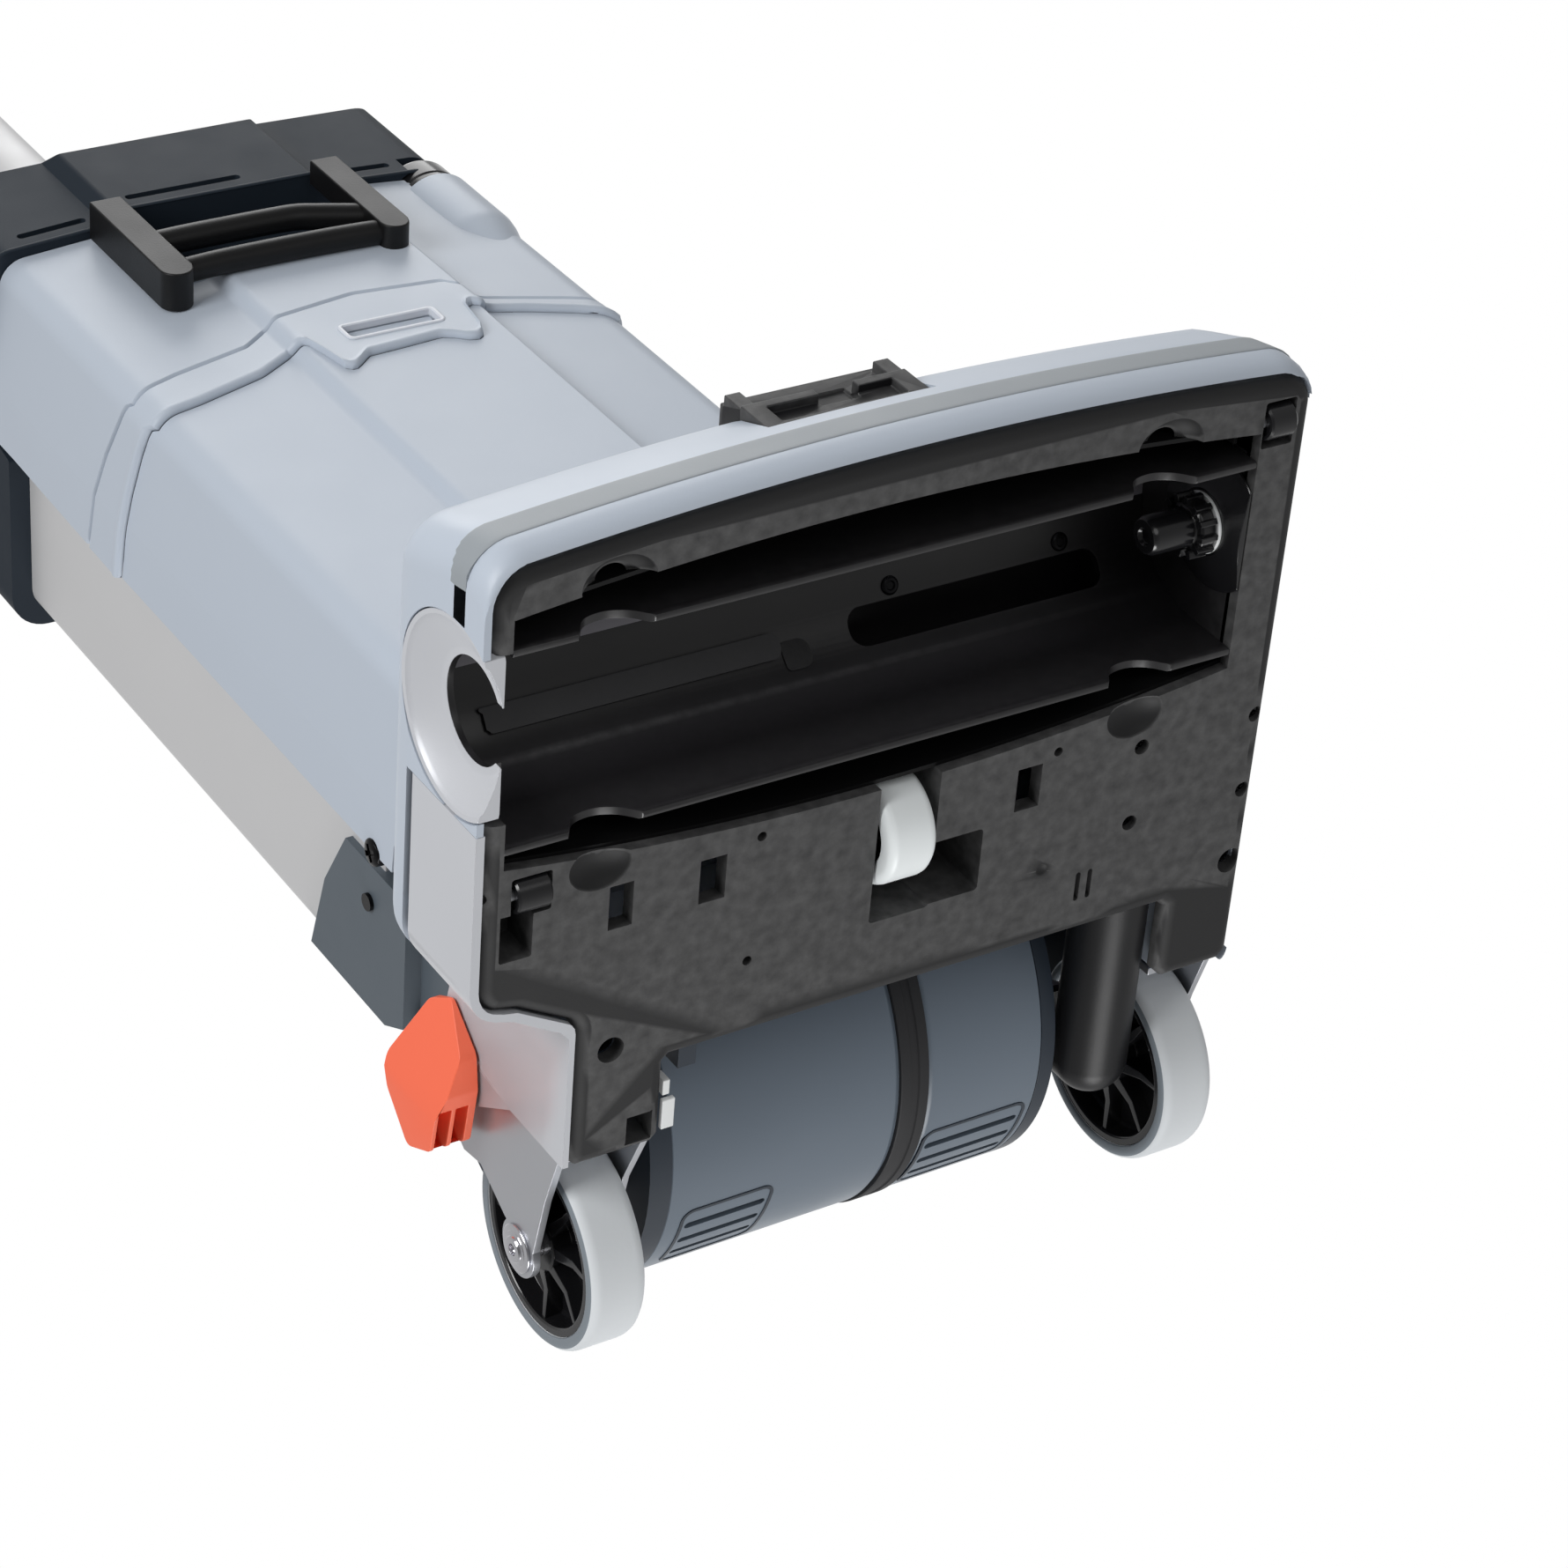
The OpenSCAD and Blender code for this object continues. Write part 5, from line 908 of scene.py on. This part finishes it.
# top cover
COVER = fillet([(97, -104, 16), (97, 61, 13), (43, 65, 0), (38, 71, 3), (-51, 71, 3), (-56, 65, 0), (-117, 62, 14), (-117, -104, 16)], 9)
def top_cover():
    def body(e, z0, z1, side):
        a = bmesh.new(); prism(a, offset(COVER, e) if e else COVER, z0, z1); a = to_mesh(a)
        b = bmesh.new(); prism(b, side, -200, 200, "x"); return cut(a, to_mesh(b), op="INTERSECT")
    side = fillet([(90, 527, 0), (90, 566.4, 0), (14, 645, 22), (-84, 645, 20), (-104, 620, 20), (-106, 507, 0), (-22, 507, 1.5), (-18.4, 527, 1)], 8)
    me = body(0, 500, 660, side); me.materials.append(M["navy"])
    ins = body(3, 490, 660, [(92, 500), (92, 558.9), (11.8, 642), (-81, 642), (-101, 619), (-101, 500)]); ins.materials.append(M["navy"])
    cs = [ins]
    def c(fn):
        b = bmesh.new(); fn(b); m = to_mesh(b); m.materials.append(M["navy"]); cs.append(m)
    for s in ((-22, 30, 60, 80), (48, 78, 55, 80), (-92, -62, 55, 80)):
        c(lambda b, s=s: prism(b, fillet([(s[0], 535, 1.8), (s[1], 535, 1.8), (s[1], 539, 1.8), (s[0], 539, 1.8)], 5), s[2], s[3], "y"))
    c(lambda b: cyl(b, "z", 18.4, 500, 541, (-104.5, 46), 64))
    c(lambda b: cyl(b, "z", 20.1, 600, 660, (-11, -27), 64))
    c(lambda b: prism(b, fillet([(34, -19, 2), (60, -19, 2), (60, -1, 2), (34, -1, 2)], 4), 630, 660))
    c(lambda b: cyl(b, "y", 6.1, -115, -90, (29, 600), 32))
    me = cut(me, *cs, mats=True)
    return put("cover_top", me, M["navy"], "upright", "top_cover", bev=1.1, seg=3, bang=32, sharp=34)
top_cover()
# dark liner behind the slots and the top of the profile inside the cover
bm = bmesh.new(); prism(bm, offset(COVER, 4.2), 528.4, 530); 
k = bmesh.new(); cyl(k, "z", 20.6, 500, 560, (-104.5, 46), 64)
me = cut(to_mesh(bm), to_mesh(k))
k = bmesh.new(); box(k, -200, 200, -200, -19, 500, 560)
me = cut(me, to_mesh(k))
put("cover_floor", me, M["navy_dark"], "upright")
# soft raised rim round the cover's lower edge
def rim():
    path = [p for p in COVER if p[1] > -19]
    i0 = max(range(len(COVER)), key=lambda i: 0)
    P = []
    # start at the right rear, go round the front
    idx = [i for i, p in enumerate(COVER) if p[1] > -90]
    P = [(97, -18.0)] + [p for p in COVER if p[1] > -18] + [(-117, -18.0)]
    rows = []
    prof = [(0.6, 527.0), (-0.0, 526.8), (-0.5, 527.3), (-0.6, 528.2), (-0.3, 529.2), (0.6, 529.6)]
    O = {d: offset(P, d, closed=False) for d, z in prof}
    for i in range(len(P)):
        rows.append([(O[d][i][0], O[d][i][1], z) for d, z in prof])
    bm = bmesh.new(); loft(bm, rows, cu=True, cap0=True, cap1=True)
    put("cover_rim", bm, M["navy"], "upright", sharp=60)
rim()

clean("yoke_right", M["dark"], 1.4, 3, ang=26)
clean("yoke_left", M["dark"], 1.2, 3, ang=26)
clean("back_profile", M["alu"], 0.5, 2)
clean("bag_frame", M["black"], 0.5, 2)
clean("door_pins", M["screw"], 0.4, 2)
clean("suction_pipe", M["black"], 0.5, 2)
clean("hose_elbow", M["black"], 0.6, 2)
clean("filter_holder", M["roller"], 1.5, 3)
clean("dust_bag", M["paper"], 2.5, 3, ang=24)
clean("handle_tube", M["alu"], 0.4, 2)
clean("grip", M["dark"], 3.0, 4, ang=30)
clean("cord_gland", M["rubber"], 0.5, 2)
clean("power_switch", M["gloss"], 0.6, 2)
clean("cord_hook", M["dark"], 1.4, 3)
clean("body_screws", M["screw"], 0.5, 2)

# yoke details on the user's right: collar round the hub, cross screws, hinge screw
bm = bmesh.new()
lathe(bm, [(30.1, 83.9), (36.5, 83.9), (36.2, 84.8), (35.6, 85.2), (31.2, 85.2), (30.4, 84.8)], "x", (MY, MZ), 96, closed=True)
put("hub_collar", bm, M["dark"], "upright", sharp=40)
bm = bmesh.new()
lathe(bm, [(0, 84.6), (22.5, 84.6), (23.2, 85.0), (25.6, 85.0), (25.9, 84.4), (25.9, 80), (0, 80)], "x", (MY, MZ), 80)
put("trunnion_cap", bm, M["navy_dark"], "base", sharp=40)
bm = bmesh.new()
cross_screw(bm, (84.6, -91, 160), (1, 0, 0), 4.3, 1.8, 25)
cross_screw(bm, (-114.0, -50, 196), (-1, 0, 0), 4.3, 1.6, 25)
put("yoke_screws", bm, M["screw"], "upright", bev=0.12, seg=1)
bm = bmesh.new()
cross_screw(bm, (96.8, -18.5, 183), (1, 0, 0), 5.6, 2.0, 30)
cross_screw(bm, (-121.4, -18.5, 183), (-1, 0, 0), 5.6, 2.0, 30)
for s, x in ((1, 96.9), (-1, -121.5)):
    pass
put("hinge_screws", bm, M["screw"], "upright", bev=0.12, seg=1)

# ------------------------------------------------------------------ flexible hose with bellows
def hose():
    ctrl = [(-116, -74, 48.5), (-116, -76, 55), (-117.0, -83, 68), (-118.6, -93.4, 86), (-119.2, -99.6, 106), (-120.4, -98.4, 124), (-122.4, -92.6, 142), (-126.4, -80.5, 160), (-130.4, -67.4, 176), (-130.6, -66, 183.6)]
    P = spline(ctrl, 40)
    L = [0.0]
    for a, b in zip(P, P[1:]): L.append(L[-1] + (b - a).length)
    n = 420
    Q = []; j = 0
    for i in range(n + 1):
        s = L[-1] * i / n
        while j < len(L) - 2 and L[j + 1] < s: j += 1
        t = (s - L[j]) / max(1e-9, L[j + 1] - L[j]); Q.append((P[j].lerp(P[j + 1], t), s))
    pitch = 6.4; tot = L[-1]; c0 = 9.0; c1 = tot - 9.0
    fr = frames([q for q, s in Q])
    bm = bmesh.new(); rows = []
    for (p, u, v), (q, s) in zip(fr, Q):
        if s < c0 or s > c1: r = 13.6
        else:
            w = sin(2 * pi * (s - c0) / pitch - pi / 2)
            w = math.copysign(abs(w) ** 0.7, w)
            r = 12.4 + 1.0 * w
        rows.append([p + u * (r * cos(2 * pi * k / 40)) + v * (r * sin(2 * pi * k / 40)) for k in range(40)])
    loft(bm, rows, cu=True, cap0=True, cap1=True)
    me = to_mesh(bm, "hose_bellows")
    o = bpy.data.objects.new("hose_bellows", me); COL.objects.link(o)
    me.transform(TO_M); me.polygons.foreach_set("use_smooth", [True] * len(me.polygons)); me.set_sharp_from_angle(angle=radians(60))
    me.materials.append(M["hose"])
    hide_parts("hose")
    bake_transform(o)
hose()

# ------------------------------------------------------------------ every carried-over node gets a worked material too
SLOTMAT = {"shell": "shell", "silver": "silver", "bumper": "bumper", "black": "black", "gloss_black": "gloss", "hose_black": "hose", "dark": "dark", "navy": "navy", "motor": "motor",
           "tyre": "tyre", "roller": "roller", "steel": "steel", "aluminium": "alu", "screw": "screw", "orange": "orange", "paper": "paper"}
for sp in frame["record"]["subparts"]:
    o = NODES[sp["node"]]
    o.data.materials.clear(); o.data.materials.append(M[SLOTMAT[sp["material_slot"]]])

# ------------------------------------------------------------------ floor, world, lights, camera
def floor():
    bm = bmesh.new(); bmesh.ops.create_grid(bm, x_segments=2, y_segments=2, size=6.0)
    me = bpy.data.meshes.new("floor"); bm.to_mesh(me); bm.free()
    o = bpy.data.objects.new("floor", me); COL.objects.link(o)
    m = bpy.data.materials.new("floor_pale"); m.use_nodes = True
    nt = m.node_tree; N = nt.nodes; L = nt.links
    b = N["Principled BSDF"]; b.inputs["Base Color"].default_value = (0.86, 0.86, 0.86, 1); b.inputs["Roughness"].default_value = 0.8
    t = N.new("ShaderNodeBsdfTransparent"); mx = N.new("ShaderNodeMixShader"); g = N.new("ShaderNodeNewGeometry")
    L.new(g.outputs["Backfacing"], mx.inputs["Fac"]); L.new(b.outputs["BSDF"], mx.inputs[1]); L.new(t.outputs["BSDF"], mx.inputs[2])
    L.new(mx.outputs["Shader"], N["Material Output"].inputs["Surface"])
    o.data.materials.append(m)
    o.visible_shadow = False; o.visible_diffuse = False; o.visible_glossy = False; o.visible_transmission = False
floor()

w = bpy.data.worlds.new("studio"); bpy.context.scene.world = w; w.use_nodes = True
nt = w.node_tree; N = nt.nodes; L = nt.links
bg = N["Background"]
tc = N.new("ShaderNodeTexCoord")
dp = N.new("ShaderNodeVectorMath"); dp.operation = "DOT_PRODUCT"; dp.inputs[1].default_value = (0.476, 0.544, -0.691)
L.new(tc.outputs["Generated"], dp.inputs[0])
mr = N.new("ShaderNodeMapRange"); mr.inputs["From Min"].default_value = -1.0; mr.inputs["From Max"].default_value = 1.0
L.new(dp.outputs["Value"], mr.inputs["Value"])
cr = N.new("ShaderNodeValToRGB"); L.new(mr.outputs["Result"], cr.inputs["Fac"])
els = cr.color_ramp.elements
els[0].position = 0.022; els[0].color = (1, 1, 1, 1)
els[1].position = 0.90; els[1].color = (0.14, 0.14, 0.14, 1)
for pos, v in ((0.09, 0.60), (0.22, 0.46), (0.50, 0.48)):
    e = els.new(pos); e.color = (v, v, v, 1)
L.new(cr.outputs["Color"], bg.inputs["Color"])
bg.inputs["Strength"].default_value = 1.0

TARGET = Vector((0, 0.02, 0.12))
def area(name, direction, dist, size, power, col=(1, 1, 1)):
    l = bpy.data.lights.new(name, "AREA"); l.shape = "DISK"; l.size = size; l.energy = power; l.color = col
    o = bpy.data.objects.new(name, l); COL.objects.link(o)
    d = Vector(direction).normalized(); o.location = TARGET + d * dist
    o.rotation_euler = d.to_track_quat("Z", "Y").to_euler()
    return o
CAM_C = Vector((0.476, 0.544, -0.691)); CAM_L = Vector((0.847, -0.072, 0.527)); CAM_U = Vector((-0.237, 0.836, 0.495))
area("key", CAM_C * 0.75 + CAM_L * 0.65 + CAM_U * 0.25, 2.2, 1.3, 34)
area("rear_low", Vector((0.1, -0.75, -0.66)), 2.2, 1.2, 26)
area("fill", CAM_C * 0.9 - CAM_L * 0.5 + CAM_U * 0.3, 2.6, 1.6, 8)
area("top", Vector((-0.3, 0.4, 1.0)), 2.8, 1.8, 22)

cam = bpy.data.cameras.new("camera"); co = bpy.data.objects.new("camera", cam); COL.objects.link(co)
cam.sensor_width = 36; cam.lens = 101.13; cam.clip_start = 0.05; cam.clip_end = 40
R3 = [[-0.84701082, 0.0715816, -0.52673403], [0.23690201, -0.83621772, -0.49458807], [-0.47586774, -0.5437058, 0.69132764]]
X = Vector(R3[0]); Y = -Vector(R3[1]); Z = -Vector(R3[2])
mt = Matrix((X, Y, Z)).transposed().to_4x4(); mt.translation = Vector((0.720224 + XM / 1000, 0.840732, -0.978433))
co.matrix_world = mt
bpy.context.scene.camera = co
bpy.context.scene.view_settings.view_transform = "Standard"
bpy.context.scene.view_settings.look = "None"
